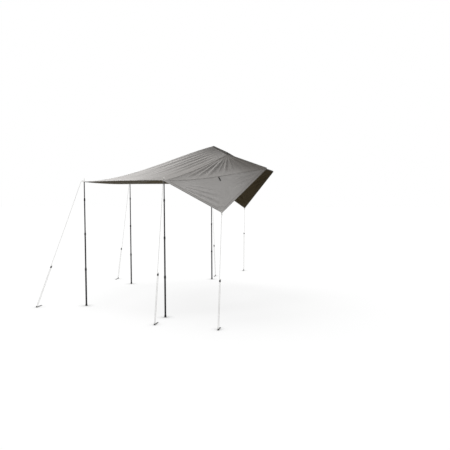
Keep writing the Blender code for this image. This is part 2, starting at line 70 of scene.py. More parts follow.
# %% Camera
CAMERA_PLACE = (2.232, -9.782, 1.785)
CAMERA_YAW = 4.7  # degrees to the left of +Y
CAMERA_DIP = 3.2  # degrees below the horizon
LENS = 45.46  # millimetres, as the sensor's width
SENSOR = 36
LENS_SHIFT = -0.10

camera = bpy.data.objects.new("camera", bpy.data.cameras.new("camera"))
camera.location = CAMERA_PLACE
camera.rotation_euler = (math.radians(90 - CAMERA_DIP), 0, math.radians(CAMERA_YAW))
camera.data.lens = LENS
camera.data.sensor_width = SENSOR
camera.data.shift_x = LENS_SHIFT
camera.data.clip_end = 200
bpy.context.scene.collection.objects.link(camera)
bpy.context.scene.camera = camera

# %% [markdown]
# ## Finishes
#
# Every finish is a small set of nodes that makes its pattern from a place on the surface, so it
# has no picture behind it. Long chains of Math nodes are hard to read, so one small class wraps a
# socket: adding or multiplying two sockets in Python adds the Math node for it. The world and the
# floor are made the same way.

# %% A socket that does maths
class Value:
    """One output of a material's node. Python's operators on it add Math nodes."""

    def __init__(self, finish, socket):
        self.finish = finish
        self.socket = socket

    def maths(self, operation, *others):
        inputs = dict(enumerate((self, *others)))
        return self.finish.node("ShaderNodeMath", inputs, operation=operation)

    def __add__(self, other):
        return self.maths("ADD", other)

    def __mul__(self, other):
        return self.maths("MULTIPLY", other)

    def __sub__(self, other):
        return self.maths("SUBTRACT", other)

    def __rsub__(self, other):
        return self.finish.node("ShaderNodeMath", {0: other, 1: self}, operation="SUBTRACT")


class Nodes:
    """The nodes of a material or of the world, with the shader that they feed."""

    def __init__(self, owner, shader):
        owner.use_nodes = True
        self.tree = owner.node_tree
        self.shader = self.tree.nodes[shader]

    def node(self, kind, inputs=None, output=0, **settings):
        """Adds any node and gives one of its outputs."""
        made = self.tree.nodes.new(kind)
        for name, value in settings.items():
            setattr(made, name, value)
        for key, value in (inputs or {}).items():
            self.plug(made.inputs[key], value)
        return Value(self, made.outputs[output])

    def plug(self, socket, value):
        if isinstance(value, Value):
            self.tree.links.new(value.socket, socket)
        elif isinstance(value, tuple) and socket.type == "RGBA":
            socket.default_value = (*value, 1)
        else:
            socket.default_value = value

    def use(self, **values):
        """Sets or links the shader's inputs."""
        for name, value in values.items():
            self.plug(self.shader.inputs[name.replace("_", " ")], value)


class Finish(Nodes):
    """A material under construction, and the patterns that it can be made from."""

    def __init__(self, name, roughness, metallic=0.0):
        self.material = bpy.data.materials.new(name)
        super().__init__(self.material, "Principled BSDF")
        self.use(Roughness=roughness, Metallic=metallic)

    def places(self):
        """Places on the piece in metres."""
        return self.node("ShaderNodeTexCoord", output="Object")

    def cloth_places(self):
        """Places along and across the piece's own cloth in metres."""
        return self.node("ShaderNodeUVMap", uv_map="cloth")

    def scaled(self, vector, factors):
        return self.node("ShaderNodeVectorMath", {0: vector, 1: factors}, operation="MULTIPLY")

    def part(self, vector, axis):
        return self.node("ShaderNodeSeparateXYZ", {0: vector}, output=axis)

    def noise(self, vector, scale, detail, roughness=0.5):
        settings = {"Vector": vector, "Scale": scale, "Detail": detail, "Roughness": roughness}
        return self.node("ShaderNodeTexNoise", settings)

    def wave(self, place, spacing):
        """A sine along a place, with one wave in each spacing."""
        return (place * (2 * math.pi / spacing)).maths("SINE")

    def ramp(self, value, low, high):
        """0 where the value is low and 1 where it is high, smooth between."""
        settings = {"Value": value, "From Min": low, "From Max": high}
        return self.node("ShaderNodeMapRange", settings, interpolation_type="SMOOTHSTEP")

    def between(self, share, one, other):
        """Mixes two colours."""
        settings = {0: share, 6: one, 7: other}
        return self.node("ShaderNodeMix", settings, output=2, data_type="RGBA")

    def bump(self, height, distance, strength):
        settings = {"Height": height, "Distance": distance, "Strength": strength}
        self.use(Normal=self.node("ShaderNodeBump", settings))


# %% [markdown]
# ## Stage and light
#
# The picture is a cut-out on white with a faint shadow under the canopy. The floor mixes a little
# real diffuse white, which takes the shadow, with a plain white that only the camera and
# reflections see, and which carries a painted contact shadow right beside what stands on it. The
# light is a soft sky all round and two broad suns. The stronger one stands high at the back left,
# so that the slope is the palest panel and the gusset the darkest. The other stands straight above
# and keeps the shadow under the canopy.

# %% Stage and light
FLOOR_SIZE = 120
FLOOR_PAINT = (0.86, 0.86, 0.86)
FLOOR_WHITE = 0.86  # share of the floor that is plain white to the camera
# Painted contact shadow: the floor's plain white is darkened near what stands on it.
CONTACT_SHADE_REACH = 0.14  # how near to the floor things have to be to darken it
CONTACT_SHADE_POWER = 3  # how steeply they do
SKY_STRENGTH = 0.30
SUNS = {  # strength, apparent width, height and bearing from +X, all three in degrees
    "key": (2.75, 36, 50, 146),
    "top": (0.95, 20, 88, 90),
}

scene = bpy.context.scene
scene.view_settings.view_transform = "Standard"
world = bpy.data.worlds.new("studio")
scene.world = world


def seen_directly(nodes):
    """1 where the camera, a reflection or glass looks, and 0 for light."""
    total = nodes.node("ShaderNodeLightPath", output="Is Camera Ray")
    for kind in ("Glossy", "Transmission"):
        total = total.maths("MAXIMUM", nodes.node("ShaderNodeLightPath", output=f"Is {kind} Ray"))
    return total


def light_the_world():
    nodes = Nodes(world, "Background")
    ends = {"Value": seen_directly(nodes), "To Min": SKY_STRENGTH, "To Max": 1}
    nodes.use(Color=(1, 1, 1), Strength=nodes.node("ShaderNodeMapRange", ends))


def floor_material():
    finish = Finish("floor", 1)
    finish.use(Base_Color=FLOOR_PAINT, Specular_IOR_Level=0)
    paint = Value(finish, finish.shader.outputs[0])
    # The plain white's strength is a painted contact shadow, made from ambient occlusion.
    contact_shade = finish.node("ShaderNodeAmbientOcclusion", {"Distance": CONTACT_SHADE_REACH}, "AO")
    glow = finish.node("ShaderNodeEmission", {"Strength": contact_shade.maths("POWER", CONTACT_SHADE_POWER)})
    shares = {0: seen_directly(finish) * FLOOR_WHITE, 1: paint, 2: glow}
    surface = finish.tree.nodes["Material Output"].inputs["Surface"]
    finish.plug(surface, finish.node("ShaderNodeMixShader", shares))
    return finish.material


def build_stage():
    bpy.ops.mesh.primitive_plane_add(size=FLOOR_SIZE, location=(0, 0, 0))
    floor = bpy.context.object
    floor.name = "floor"
    floor.data.materials.append(floor_material())
    for name, (strength, width, height, bearing) in SUNS.items():
        sun = bpy.data.objects.new(f"{name}_sun", bpy.data.lights.new(f"{name}_sun", "SUN"))
        sun.data.energy = strength
        sun.data.angle = math.radians(width)
        sun.rotation_euler = (0, math.radians(90 - height), math.radians(bearing))
        scene.collection.objects.link(sun)


light_the_world()
build_stage()

# %% [markdown]
# ## Cloth finishes
#
# The canopy is a coated polyester, grey outside and dark olive-brown inside; the inside's colour is
# also darkened by painted shade, the shade that falls under the canopy. Its weave is finer than a
# millimetre, with a thicker thread every few millimetres to stop tears. Both are worked out from the
# cloth's own map, so they turn with each cut panel. A cloudy change of tone over half a metre and
# small creases keep the big panels from looking printed. The cloth's colour carries painted shade:
# it is darkest towards the fastened side and in the gusset, where shade would fall. How much is
# written on each point of the cloth, 0 for the darkest and 1 for the palest.

# %% Cloth finishes
THREAD = 0.0011  # spacing of the weave
RIPSTOP = 0.0075  # spacing of the thicker threads


def woven(finish):
    """Height of the weave, from 0 to about 1."""
    height = 0
    for axis in (0, 1):
        place = finish.part(finish.cloth_places(), axis)
        thick = finish.ramp(finish.wave(place, RIPSTOP), 0.93, 1.0)
        height = finish.wave(place, THREAD) * 0.25 + thick * 0.4 + height
    return height


def cloth_colour(finish, dark, pale):
    """The cloth's colour, and the finer one of the two patterns that are mixed into it."""
    clouds = finish.ramp(finish.noise(finish.places(), 2.3, 3), 0.32, 0.70)
    flecks = finish.noise(finish.cloth_places(), 420, 2)
    # Painted shade: this attribute darkens the cloth where shade would fall, towards the fastened side
    # and in the gusset.
    painted_shade = finish.node("ShaderNodeAttribute", output="Fac", attribute_name="painted_shade")
    return finish.between(painted_shade * 0.87 + clouds * 0.06 + flecks * 0.04, dark, pale), flecks


def cloth_finish(name, dark, pale, roughness, shine):
    finish = Finish(name, roughness)
    colour, flecks = cloth_colour(finish, dark, pale)
    finish.use(Base_Color=colour, Roughness=flecks * 0.12 + (roughness - 0.06))
    finish.use(Specular_IOR_Level=shine)
    creases = finish.noise(finish.cloth_places(), 16, 2, 0.4)
    finish.bump(woven(finish) * 0.0002 + creases * 0.0020, 1.0, 0.6)
    return finish.material


OUTSIDE = ((0.084, 0.075, 0.066), (0.520, 0.505, 0.490))  # darkest and palest
# The inside's colours are its own olive-brown, made darker still by painted shade under the canopy.
INSIDE_WITH_SHADE = ((0.034, 0.025, 0.010), (0.056, 0.042, 0.019))
OUTSIDE_CLOTH = cloth_finish("canopy_outside", *OUTSIDE, 0.82, 0.4)
INSIDE_CLOTH_WITH_SHADE = cloth_finish("canopy_inside_with_shade", *INSIDE_WITH_SHADE, 0.85, 0.2)


# %% [markdown]
# ## Guy ropes
#
# Each rope starts in an eye round a pole's spigot, or round the ring in a wing's corner, runs
# straight to its peg, turns round it and comes back up through the second hole of its runner.
# It is taut, so it hardly sags. Its route is the one that the frame's solids have.

# %% The ropes' routes
PLATE = 0.0025  # a little more than the thickness of a plate of the canopy
SPIGOT_RADIUS = 0.004
SPIGOT_HEIGHT = 0.050  # above the fabric
FIT = 0.0003  # between a rope and what it goes round
ROPE_RADIUS = 0.002
ROPE_BEND = 0.0068  # radius of the eye and of the turn round the peg
ROPE_SAG = 0.006
EYE_LENGTH = 0.030
EYE_RISE = 0.010  # of the eye above the fabric
EYE_OPENING = 60  # degrees to each side of the rope, where the eye is open
EYE_STEP = 30  # degrees between the eye's points
ROPE_TURN = 0.014  # length of the bend from the level eye to the sloping rope
BEND_STEPS = 4
SAG_STEPS = 4
TURN_STEPS = 6
RETURN_TAIL = 0.014  # how far the rope's end comes out of its runner
RUNNER_LENGTH = 0.030
RING_RADIUS = 0.016
RING_WIRE = 0.0025
RING_INSET = 0.016
PEG_LENGTH = 0.180
PEG_RADIUS = 0.004
PEG_HEAD_RADIUS = 0.0105
PEG_NECK = 0.011
PEG_RISE = 0.0006
PEG_TIP_RISE = 0.002

PEGS = {  # ground point of each rope, and the runner's place as a share of the way down
    "outer_near": ((-2.130, -1.290), 0.683),
    "outer_far": ((-1.908, 1.745), 0.677),
    "inner_near": ((0.049, -2.310), 0.666),
    "inner_far": ((0.052, 2.310), 0.666),
    "wing_near": ((0.959, -2.530), 0.610),
    "wing_far": ((0.548, 3.250), 0.363),
}


def extreme(node, direction):
    """The corner of a CAD plate that lies furthest in a direction, at its middle thickness."""
    places = np.array([v.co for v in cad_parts[node].data.vertices])
    reach = places @ np.array(direction, float)
    return Vector(places[reach > reach.max() - PLATE].mean(axis=0))


def pole_axis(name):
    low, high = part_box(f"{name}_foot")
    return Vector(((low.x + high.x) / 2, (low.y + high.y) / 2, 0))


def pole_top(name):
    """Where a pole's axis meets the fabric."""
    axis = pole_axis(name)
    return Vector((axis.x, axis.y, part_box(f"{name}_top_tube")[1].z - SPIGOT_HEIGHT))


def canopy_corners(side):
    """The canopy's corners on one side, read from the frame's plates."""
    y = SIDES[side]
    return {
        "outer": extreme("roof_panel", (-1, y, 0)),
        "inner": extreme(f"wing_{side}", (-1, y * 0.2, 0)),
        "wing": extreme(f"wing_{side}", (0, 0, -1)),
        "tip": extreme("roof_panel", (1, y, 0)),
        "low": extreme(f"wing_{side}", (1, 0, 0)),
        "seam": extreme(f"gusset_{side}", (0, 0, 1)),
    }


def wing_eyelet(side):
    """The ring's hole in a wing's corner, the wing's outer normal and the way to the rope's peg."""
    p = canopy_corners(side)
    inward = ((p["inner"] - p["wing"]).normalized() + (p["low"] - p["wing"]).normalized()).normalized()
    hole = p["wing"] + inward * RING_INSET
    outward = (p["inner"] - p["wing"]).cross(p["low"] - p["wing"]).normalized()
    if outward.z < 0:
        outward.negate()
    (x, y), _ = PEGS[f"wing_{side}"]
    return hole, outward, (Vector((x, y, 0)) - hole).normalized()


def ring_frame(side):
    """Centre, pull direction and bar direction of a wing's ring, which hangs in its hole."""
    hole, outward, pull = wing_eyelet(side)
    bar = (outward - pull * outward.dot(pull)).normalized()
    return hole + pull * RING_RADIUS, pull, bar


def eye(anchor, way, across, anchor_radius):
    """Route round a spigot or a ring's bar, from the knot and back to it."""
    centre = anchor + way * (ROPE_BEND - anchor_radius - ROPE_RADIUS - FIT)
    beside = across * (ROPE_RADIUS + FIT)
    points = [anchor + way * EYE_LENGTH - beside]
    for degrees in range(EYE_OPENING, 361 - EYE_OPENING, EYE_STEP):
        angle = -math.radians(degrees)
        points.append(centre + (way * math.cos(angle) + across * math.sin(angle)) * ROPE_BEND)
    points.append(anchor + way * EYE_LENGTH + beside)
    return points


def bend(start, corner, end):
    """A round corner, as points along it."""
    shares = [step / BEND_STEPS for step in range(BEND_STEPS + 1)]
    return [start * (1 - t) ** 2 + corner * 2 * t * (1 - t) + end * t**2 for t in shares]


def peg_axis(name):
    """The head's centre and the direction of the peg's point."""
    (x, y), _ = PEGS[name]
    head_height = PEG_HEAD_RADIUS + PEG_RISE
    fall = head_height - PEG_TIP_RISE
    run = math.sqrt(PEG_LENGTH**2 - fall**2)
    way = Vector((0, -math.copysign(run, y), -fall)).normalized()
    return Vector((x, y, head_height)) - way * PEG_NECK, way


def rope_start(name):
    """The rope's route from its eye to where it runs straight to the peg."""
    (x, y), _ = PEGS[name]
    row, side = name.split("_")
    if row == "wing":
        centre, pull, bar = ring_frame(side)
        return eye(centre + pull * RING_RADIUS, pull, pull.cross(bar), RING_WIRE)
    anchor = pole_top(name) + Vector((0, 0, EYE_RISE))
    out = Vector((x - anchor.x, y - anchor.y, 0)).normalized()
    route = eye(anchor, out, Vector((0, 0, 1)).cross(out), SPIGOT_RADIUS)
    corner = route[-1] + out * ROPE_TURN
    down = (Vector((x, y, 0)) - corner).normalized()
    return route[:-1] + bend(route[-1], corner, corner + down * ROPE_TURN)


def guy_rope(name):
    """The whole rope's route: down to its peg, round it and back up through its runner."""
    route = rope_start(name)
    top = route[-1]
    head, peg_way = peg_axis(name)
    turn = head + peg_way * PEG_NECK
    down = (turn - top).normalized()
    across = down.cross(peg_way).normalized()
    reach = (PEG_RADIUS + ROPE_RADIUS + FIT) / down.cross(peg_way).length
    centre = turn + down * (reach - ROPE_BEND)
    foot = centre - across * ROPE_BEND
    runner = top.lerp(foot, PEGS[name][1])
    way = (foot - top).normalized()
    for step in range(1, SAG_STEPS):
        t = step / SAG_STEPS
        route.append(top.lerp(runner, t) - Vector((0, 0, ROPE_SAG * 4 * t * (1 - t))))
    grip = way * RUNNER_LENGTH / 2
    route += [runner - grip, runner + grip, foot - way * ROPE_BEND]
    for step in range(TURN_STEPS + 1):
        angle = -math.pi / 2 + math.pi * step / TURN_STEPS
        route.append(centre + (down * math.cos(angle) + across * math.sin(angle)) * ROPE_BEND)
    back = across * 2 * ROPE_BEND
    return [*route, runner + back + grip, runner + back - grip - way * RETURN_TAIL]


# %% [markdown]
# A rope is a tube swept along its route. A curve with a bevel would do, but a mesh tube can carry
# a map that runs along it in metres, and the braid follows that map round every bend.

# %% The ropes
ROPE_SIDES = 10
STRAND = 0.0040  # length of one crossing of the braid
STRANDS = 4  # round the rope, each way
SHORT_STEP = 0.02  # a step of the route that is shorter than this belongs to a bend
NEAR_STEP = 0.03  # and is rounded where the steps beside it are shorter than this
SHORT_PARTS = 3  # into so many parts
LONG_STEP = 0.06  # spacing of the points on the straight stretches


def write_painted_shade(mesh, values):
    """Writes the cloth's painted shade at each point, 0 darkest and 1 palest, for its finish to read."""
    layer = mesh.attributes.new("painted_shade", "FLOAT", "POINT")
    layer.data.foreach_set("value", np.asarray(values, np.float32))


def mesh_object(name, vertices, faces, maps=None, smooth=True, painted_shade=None):
    """An object from points and faces, with its map on the cloth in metres, one pair per point."""
    mesh = bpy.data.meshes.new(name)
    mesh.from_pydata([tuple(v) for v in vertices], [], [tuple(f) for f in faces])
    if maps is not None:
        layer = mesh.uv_layers.new(name="cloth")
        corners = np.array([corner.vertex_index for corner in mesh.loops])
        layer.data.foreach_set("uv", np.asarray(maps, np.float32)[corners].ravel())
    if painted_shade is not None:
        write_painted_shade(mesh, painted_shade)
    if smooth:
        mesh.shade_smooth()
    item = bpy.data.objects.new(name, mesh)
    bpy.context.scene.collection.objects.link(item)
    return item


def face_outwards(item):
    work = bmesh.new()
    work.from_mesh(item.data)
    bmesh.ops.recalc_face_normals(work, faces=work.faces)
    work.to_mesh(item.data)
    work.free()


def rounded(route):
    """The route with its short bends smoothed by a spline through its points."""
    points = [route[0]]
    for number in range(len(route) - 1):
        a = route[max(number - 1, 0)]
        b, c = route[number], route[number + 1]
        d = route[min(number + 2, len(route) - 1)]
        short = (c - b).length < SHORT_STEP
        steps = SHORT_PARTS if short else max(1, round((c - b).length / LONG_STEP))
        for step in range(1, steps + 1):
            t = step / steps
            if short and (b - a).length < NEAR_STEP and (d - c).length < NEAR_STEP:
                spline = (c - a) * t + (2 * a - 5 * b + 4 * c - d) * t**2
                spline = spline + (3 * b - a - 3 * c + d) * t**3
                points.append(b + spline / 2)
            else:
                points.append(b.lerp(c, t))
    return points


def tube(name, route, radius, sides=ROPE_SIDES):
    """A round tube along a route. Its map runs round it and along it."""
    vertices, maps, faces = [], [], []
    side_way = (route[1] - route[0]).orthogonal().normalized()
    travelled = 0
    for number, point in enumerate(route):
        before, after = route[max(number - 1, 0)], route[min(number + 1, len(route) - 1)]
        travelled += (point - before).length
        way = (after - before).normalized()
        side_way = (side_way - way * side_way.dot(way)).normalized()
        other_way = way.cross(side_way)
        for step in range(sides):
            angle = 2 * math.pi * step / sides
            vertices.append(point + (side_way * math.cos(angle) + other_way * math.sin(angle)) * radius)
            maps.append((step / sides, travelled))
    for number in range(len(route) - 1):
        for step in range(sides):
            after = (step + 1) % sides
            low, high = number * sides, (number + 1) * sides
            faces.append((low + step, low + after, high + after, high + step))
    last = (len(route) - 1) * sides
    faces.append(tuple(reversed(range(sides))))
    faces.append(tuple(last + step for step in range(sides)))
    return mesh_object(name, vertices, faces, maps)


def rope_finish():
    """Braided polyester: crossing strands, pale, with a darker fleck thread."""
    finish = Finish("rope_braid", 0.8)
    here = finish.cloth_places()
    around, along = finish.part(here, 0), finish.part(here, 1)
    turns = around * (2 * math.pi * STRANDS)
    length = along * (2 * math.pi / STRAND)
    one = (turns + length).maths("SINE")
    other = (turns - length).maths("SINE")
    braid = one.maths("MAXIMUM", other)
    fleck = finish.ramp((around * (2 * math.pi) + length * 0.25).maths("SINE"), 0.86, 0.96)
    # The strands are darker down in the braid's grooves: painted shade.
    pale = finish.between(finish.ramp(braid, -0.2, 0.9), (0.42, 0.41, 0.385), (0.66, 0.65, 0.62))
    finish.use(Base_Color=finish.between(fleck * 0.6, pale, (0.22, 0.215, 0.20)))
    finish.bump(braid, 0.0003, 0.8)
    return finish.material


ROPE_FINISH = rope_finish()
ropes = {}
for name in PEGS:
    route = rounded(guy_rope(name))
    rope = tube(f"rope_{name}", route, ROPE_RADIUS)
    rope.data.materials.append(ROPE_FINISH)
    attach(rope, "canopy")
    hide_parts(f"guy_rope_{name}")
    length = sum((b - a).length for a, b in zip(route, route[1:]))
    ropes[name] = (rope, route, length)
    print("rope", name, "length", round(length, 3), "points", len(route))

# %% [markdown]
# ## The canopy's lines
#
# Seven cut panels make the canopy: a roof between two ridge seams, and on each side a slope, a
# gusset and a hanging wing, which all meet over the inner pole. A stretched seam between two
# corners is never quite straight. It hangs deepest nearer to its loose end, so each line here
# has a sag and a skew.

# %% Seams and edges
UP = np.array((0.0, 0.0, 1.0))
EDGES = {  # the two corners, the sag in metres, and the skew of the sag towards the first
    "ridge": ("outer", "tip", 0.081, 1.9),
    "eave": ("outer", "inner", -0.008, 0.6),
    "seam": ("inner", "seam", 0.032, 1.4),
    "gusset": ("inner", "low", 0.035, 1.8),
    "hem": ("inner", "wing", 0.0, 1.0),
    "leech": ("wing", "low", 0.0, 1.0),
    "high_side": ("tip", "seam", 0.0, 1.0),
    "low_side": ("seam", "low", 0.0, 1.0),
}
FRONT_SAG = 0.014


def line(start, end, sag=0.0, skew=1.0):
    """A seam or an edge, as a function that gives the places at shares from 0 to 1 of it."""
    start, end = np.array(start), np.array(end)
    peak = 1 / (1 + skew)
    most = peak * (1 - peak) ** skew

    def at(shares):
        share = np.atleast_1d(shares)[:, None]
        return start * (1 - share) + end * share - UP * (sag * share * (1 - share) ** skew / most)

    return at


def side_lines(side):
    corners = canopy_corners(side)
    return {name: line(corners[a], corners[b], *sags) for name, (a, b, *sags) in EDGES.items()}


LINES = {side: side_lines(side) for side in SIDES}
LINES["front"] = line(LINES["near"]["ridge"](0)[0], LINES["far"]["ridge"](0)[0], FRONT_SAG)
LINES["back"] = line(LINES["near"]["ridge"](1)[0], LINES["far"]["ridge"](1)[0])

# %% [markdown]
# ## The canopy's panels
#
# A panel that fills the space between four curved edges can be ruled from edge to edge, which is
# called a Coons patch. It gives a smooth sheet with no flat parts. The gusset and the wing are
# triangles, so one edge of each is only a point: the gusset's upper corner and the wing's corner
# at the inner pole. Where panels meet, they share the points of their seam, so the canopy is one
# piece of cloth in the end. The grid is 20 to 40 mm wide, and its rows run the way the folds will
# go, so that no fold steps from row to row.

# %% Panels
LENGTHWISE = 92  # steps along each seam
ROOF_STEPS = 56  # steps across each panel
SLOPE_STEPS = 80
WING_STEPS = 64
ROOF_BELLY = 0.025
SLOPE_BELLY = 0.020


def patch(low, high, left, right, steps, belly=0.0):
    """A grid of places between four lines that share corners, sagging by belly in the middle."""
    along, across = np.linspace(0, 1, LENGTHWISE + 1), np.linspace(0, 1, steps + 1)
    u, v = along[:, None, None], across[None, :, None]
    ruled = low(along)[:, None] * (1 - v) + high(along)[:, None] * v
    ruled = ruled + left(across)[None] * (1 - u) + right(across)[None] * u
    flat = (low(0) * (1 - u) + low(1) * u) * (1 - v) + (high(0) * (1 - u) + high(1) * u) * v
    return ruled - flat - UP * (belly * 16 * u * (1 - u) * v * (1 - v))


def backwards(at):
    """The same line from its other end."""
    return lambda shares: at(1 - np.asarray(shares))


def canopy_grids():
    near, far = LINES["near"]["ridge"], LINES["far"]["ridge"]
    grids = {"roof": patch(near, far, LINES["front"], LINES["back"], ROOF_STEPS, ROOF_BELLY)}
    for side in SIDES:
        at = LINES[side]
        inner = line(at["hem"](0)[0], at["hem"](0)[0])
        high = line(at["low_side"](0)[0], at["low_side"](0)[0])
        sides = (at["ridge"], at["seam"], at["eave"], at["high_side"])
        grids[f"slope_{side}"] = patch(*sides, SLOPE_STEPS, SLOPE_BELLY)
        sides = (backwards(at["seam"]), at["low_side"], high, at["gusset"])
        grids[f"gusset_{side}"] = patch(*sides, LENGTHWISE)
        grids[f"wing_{side}"] = patch(at["hem"], at["gusset"], inner, at["leech"], WING_STEPS)
    return grids


def cut_map(grid):
    """The grid's points on their cut panel laid flat: metres along and across."""
    along = grid[-1].mean(axis=0) - grid[0].mean(axis=0)
    along /= np.linalg.norm(along)
    across = grid[-1, -1] - grid[-1, 0]
    across = across - along * (across @ along)
    across /= np.linalg.norm(across)
    return np.stack(((grid - grid[0, 0]) @ along, (grid - grid[0, 0]) @ across), axis=-1)


GRIDS = canopy_grids()
CUTS = {name: cut_map(grid) for name, grid in GRIDS.items()}
for name, cut in CUTS.items():
    print(name, "is", np.round(np.ptp(cut.reshape(-1, 2), axis=0), 2), "m")

# %% [markdown]
# ## Folds
#
# Cloth under tension folds in lines that run from where it is held. They fan out from the
# fastened side, where the cloth is gathered a little too tight, and from the pole's corner. They
# could come from a cloth simulation, but a simulation doesn't know how this one was sewn. Each
# is listed instead: a path on its panel, a width and a height. Most paths keep to one share across
# their panel, because the grid's rows already fan out as the folds do. The far side has the same
# set, shifted a little, because no two sides hang alike.

# %% Folds
FOLDS = {  # panel: path as shares along and across it, widths at both ends, and height, in metres
    "slope": [
        ([(0.98, 0.07), (0.24, 0.07)], 0.012, 0.030, 0.008),
        ([(0.98, 0.20), (0.16, 0.20)], 0.014, 0.036, 0.013),
        ([(0.98, 0.34), (0.28, 0.34)], 0.013, 0.034, 0.014),
        ([(0.98, 0.48), (0.14, 0.48)], 0.014, 0.038, 0.018),
        ([(0.98, 0.63), (0.22, 0.63)], 0.013, 0.036, 0.019),
        ([(0.98, 0.78), (0.12, 0.78)], 0.014, 0.036, 0.020),
        ([(0.98, 0.91), (0.30, 0.91)], 0.011, 0.028, 0.013),
        ([(0.66, 0.27), (0.10, 0.27)], 0.012, 0.030, 0.009),
        ([(0.70, 0.56), (0.16, 0.56)], 0.012, 0.028, 0.009),
        ([(0.60, 0.71), (0.08, 0.71)], 0.012, 0.028, 0.008),
        ([(0.03, 0.50), (0.20, 0.52), (0.40, 0.50)], 0.060, 0.090, 0.004),
    ],
    "gusset": [
        ([(0.16, 0.14), (0.96, 0.14)], 0.012, 0.026, 0.014),
        ([(0.10, 0.25), (0.96, 0.25)], 0.012, 0.032, 0.022),
        ([(0.05, 0.37), (0.97, 0.37)], 0.012, 0.040, 0.036),
        ([(0.05, 0.47), (0.90, 0.47)], 0.010, 0.026, 0.018),
        ([(0.05, 0.56), (0.97, 0.56)], 0.010, 0.028, 0.026),
        ([(0.05, 0.66), (0.92, 0.66)], 0.010, 0.028, 0.024),
        ([(0.05, 0.77), (0.90, 0.77)], 0.012, 0.032, 0.022),
        ([(0.08, 0.89), (0.80, 0.89)], 0.012, 0.034, 0.014),
    ],
    "wing": [
        ([(0.16, 0.11), (1.05, 0.11)], 0.012, 0.040, 0.028),
        ([(0.14, 0.22), (0.98, 0.22)], 0.012, 0.044, 0.034),
        ([(0.14, 0.35), (0.88, 0.35)], 0.012, 0.046, 0.034),
        ([(0.14, 0.49), (0.76, 0.49)], 0.012, 0.044, 0.030),
        ([(0.14, 0.64), (0.62, 0.64)], 0.012, 0.038, 0.022),
        ([(0.95, 0.97), (0.60, 0.78)], 0.016, 0.038, 0.014),
        ([(0.97, 0.90), (0.70, 0.58)], 0.018, 0.042, 0.016),
        ([(0.97, 0.78), (0.76, 0.44)], 0.018, 0.038, 0.014),
        ([(0.90, 0.12), (0.66, 0.36)], 0.026, 0.042, 0.018),
        ([(0.90, 0.20), (0.80, 0.58)], 0.026, 0.042, 0.016),
    ],
    "roof": [
        ([(0.98, 0.04), (0.50, 0.12)], 0.020, 0.050, 0.014),
        ([(0.98, 0.14), (0.50, 0.23)], 0.020, 0.050, 0.013),
        ([(0.98, 0.28), (0.58, 0.34)], 0.020, 0.050, 0.012),
        ([(0.98, 0.47), (0.64, 0.47)], 0.020, 0.050, 0.009),
        ([(0.98, 0.96), (0.50, 0.88)], 0.020, 0.050, 0.014),
        ([(0.98, 0.85), (0.52, 0.75)], 0.020, 0.050, 0.013),
        ([(0.98, 0.70), (0.60, 0.65)], 0.020, 0.050, 0.012),
        ([(0.02, 0.03), (0.34, 0.20)], 0.020, 0.060, 0.010),
        ([(0.02, 0.97), (0.32, 0.78)], 0.020, 0.060, 0.010),
    ],
}
SEAM_REACH = {"slope": 0.009, "gusset": 0.009, "wing": 0.030, "roof": 0.009}
PATCH_REACH = 0.100
SEAM_FADE = 0.025  # folds die out over this, beside the seams, hems and corner patches
FOLD_RISE = 0.30  # share of its path over which a fold rises
FOLD_HOLD = 0.45  # and from which it dies out again
FOLD_SHIFT = 0.025  # the most that a far side's fold is moved, as a share across its panel
PATH_STEPS = 16


def smooth(share):
    """From 0 to 1 without a corner at either end."""
    share = np.clip(share, 0, 1)
    return share * share * (3 - 2 * share)


def at_shares(grid, u, v):
    """The place on a grid at a share along and a share across."""
    i, j = u * (len(grid) - 1), v * (grid.shape[1] - 1)
    i0, j0 = min(int(i), len(grid) - 2), min(int(j), grid.shape[1] - 2)
    a, b = i - i0, j - j0
    low = grid[i0, j0] * (1 - a) + grid[i0 + 1, j0] * a
    high = grid[i0, j0 + 1] * (1 - a) + grid[i0 + 1, j0 + 1] * a
    return low * (1 - b) + high * b


def fold_path(cut, corners):
    """A fold's path on the flat panel, in even steps and straight from corner to corner."""
    spots = np.array([at_shares(cut, u, v) for u, v in corners])
    shares = np.linspace(0, len(corners) - 1, PATH_STEPS + 1)
    return np.stack([np.interp(shares, np.arange(len(corners)), spots[:, axis]) for axis in (0, 1)], -1)


def nearest_on_path(places, path):
    """Each place's distance to a path, and the share of the path where that is."""
    best = np.full(len(places), np.inf)
    share = np.zeros(len(places))
    for number, (a, b) in enumerate(zip(path, path[1:])):
        leg = b - a
        t = np.clip(((places - a) @ leg) / (leg @ leg), 0, 1)
        distance = np.linalg.norm(places - a - t[:, None] * leg, axis=1)
        closer = distance < best
        best[closer] = distance[closer]
        share[closer] = (number + t[closer]) / (len(path) - 1)
    return best, share


def fold_heights(cut, folds):
    """How high each point of a panel stands because of its folds."""
    places = cut.reshape(-1, 2)
    heights = np.zeros(len(places))
    for corners, narrow, wide, height in folds:
        distance, share = nearest_on_path(places, fold_path(cut, corners))
        width = narrow + (wide - narrow) * share
        x = distance / width
        dying = smooth((share - FOLD_HOLD) / (1 - FOLD_HOLD))
        taper = smooth(share / FOLD_RISE) * (1 - dying) * width / wide
        heights += height * taper * np.exp(-x * x) * (1 - x * x / 2)
    return heights.reshape(cut.shape[:2])


def border_distance(grid):
    """Each point's distance to the nearest edge of its panel."""
    def from_start(points):
        steps = np.linalg.norm(np.diff(points, axis=0), axis=-1)
        return np.concatenate((np.zeros((1, points.shape[1])), np.cumsum(steps, axis=0)))

    turned = grid.transpose(1, 0, 2)
    nearest = [from_start(grid), from_start(grid[::-1])[::-1]]
    nearest += [from_start(turned).T, from_start(turned[::-1])[::-1].T]
    return np.minimum.reduce(nearest)


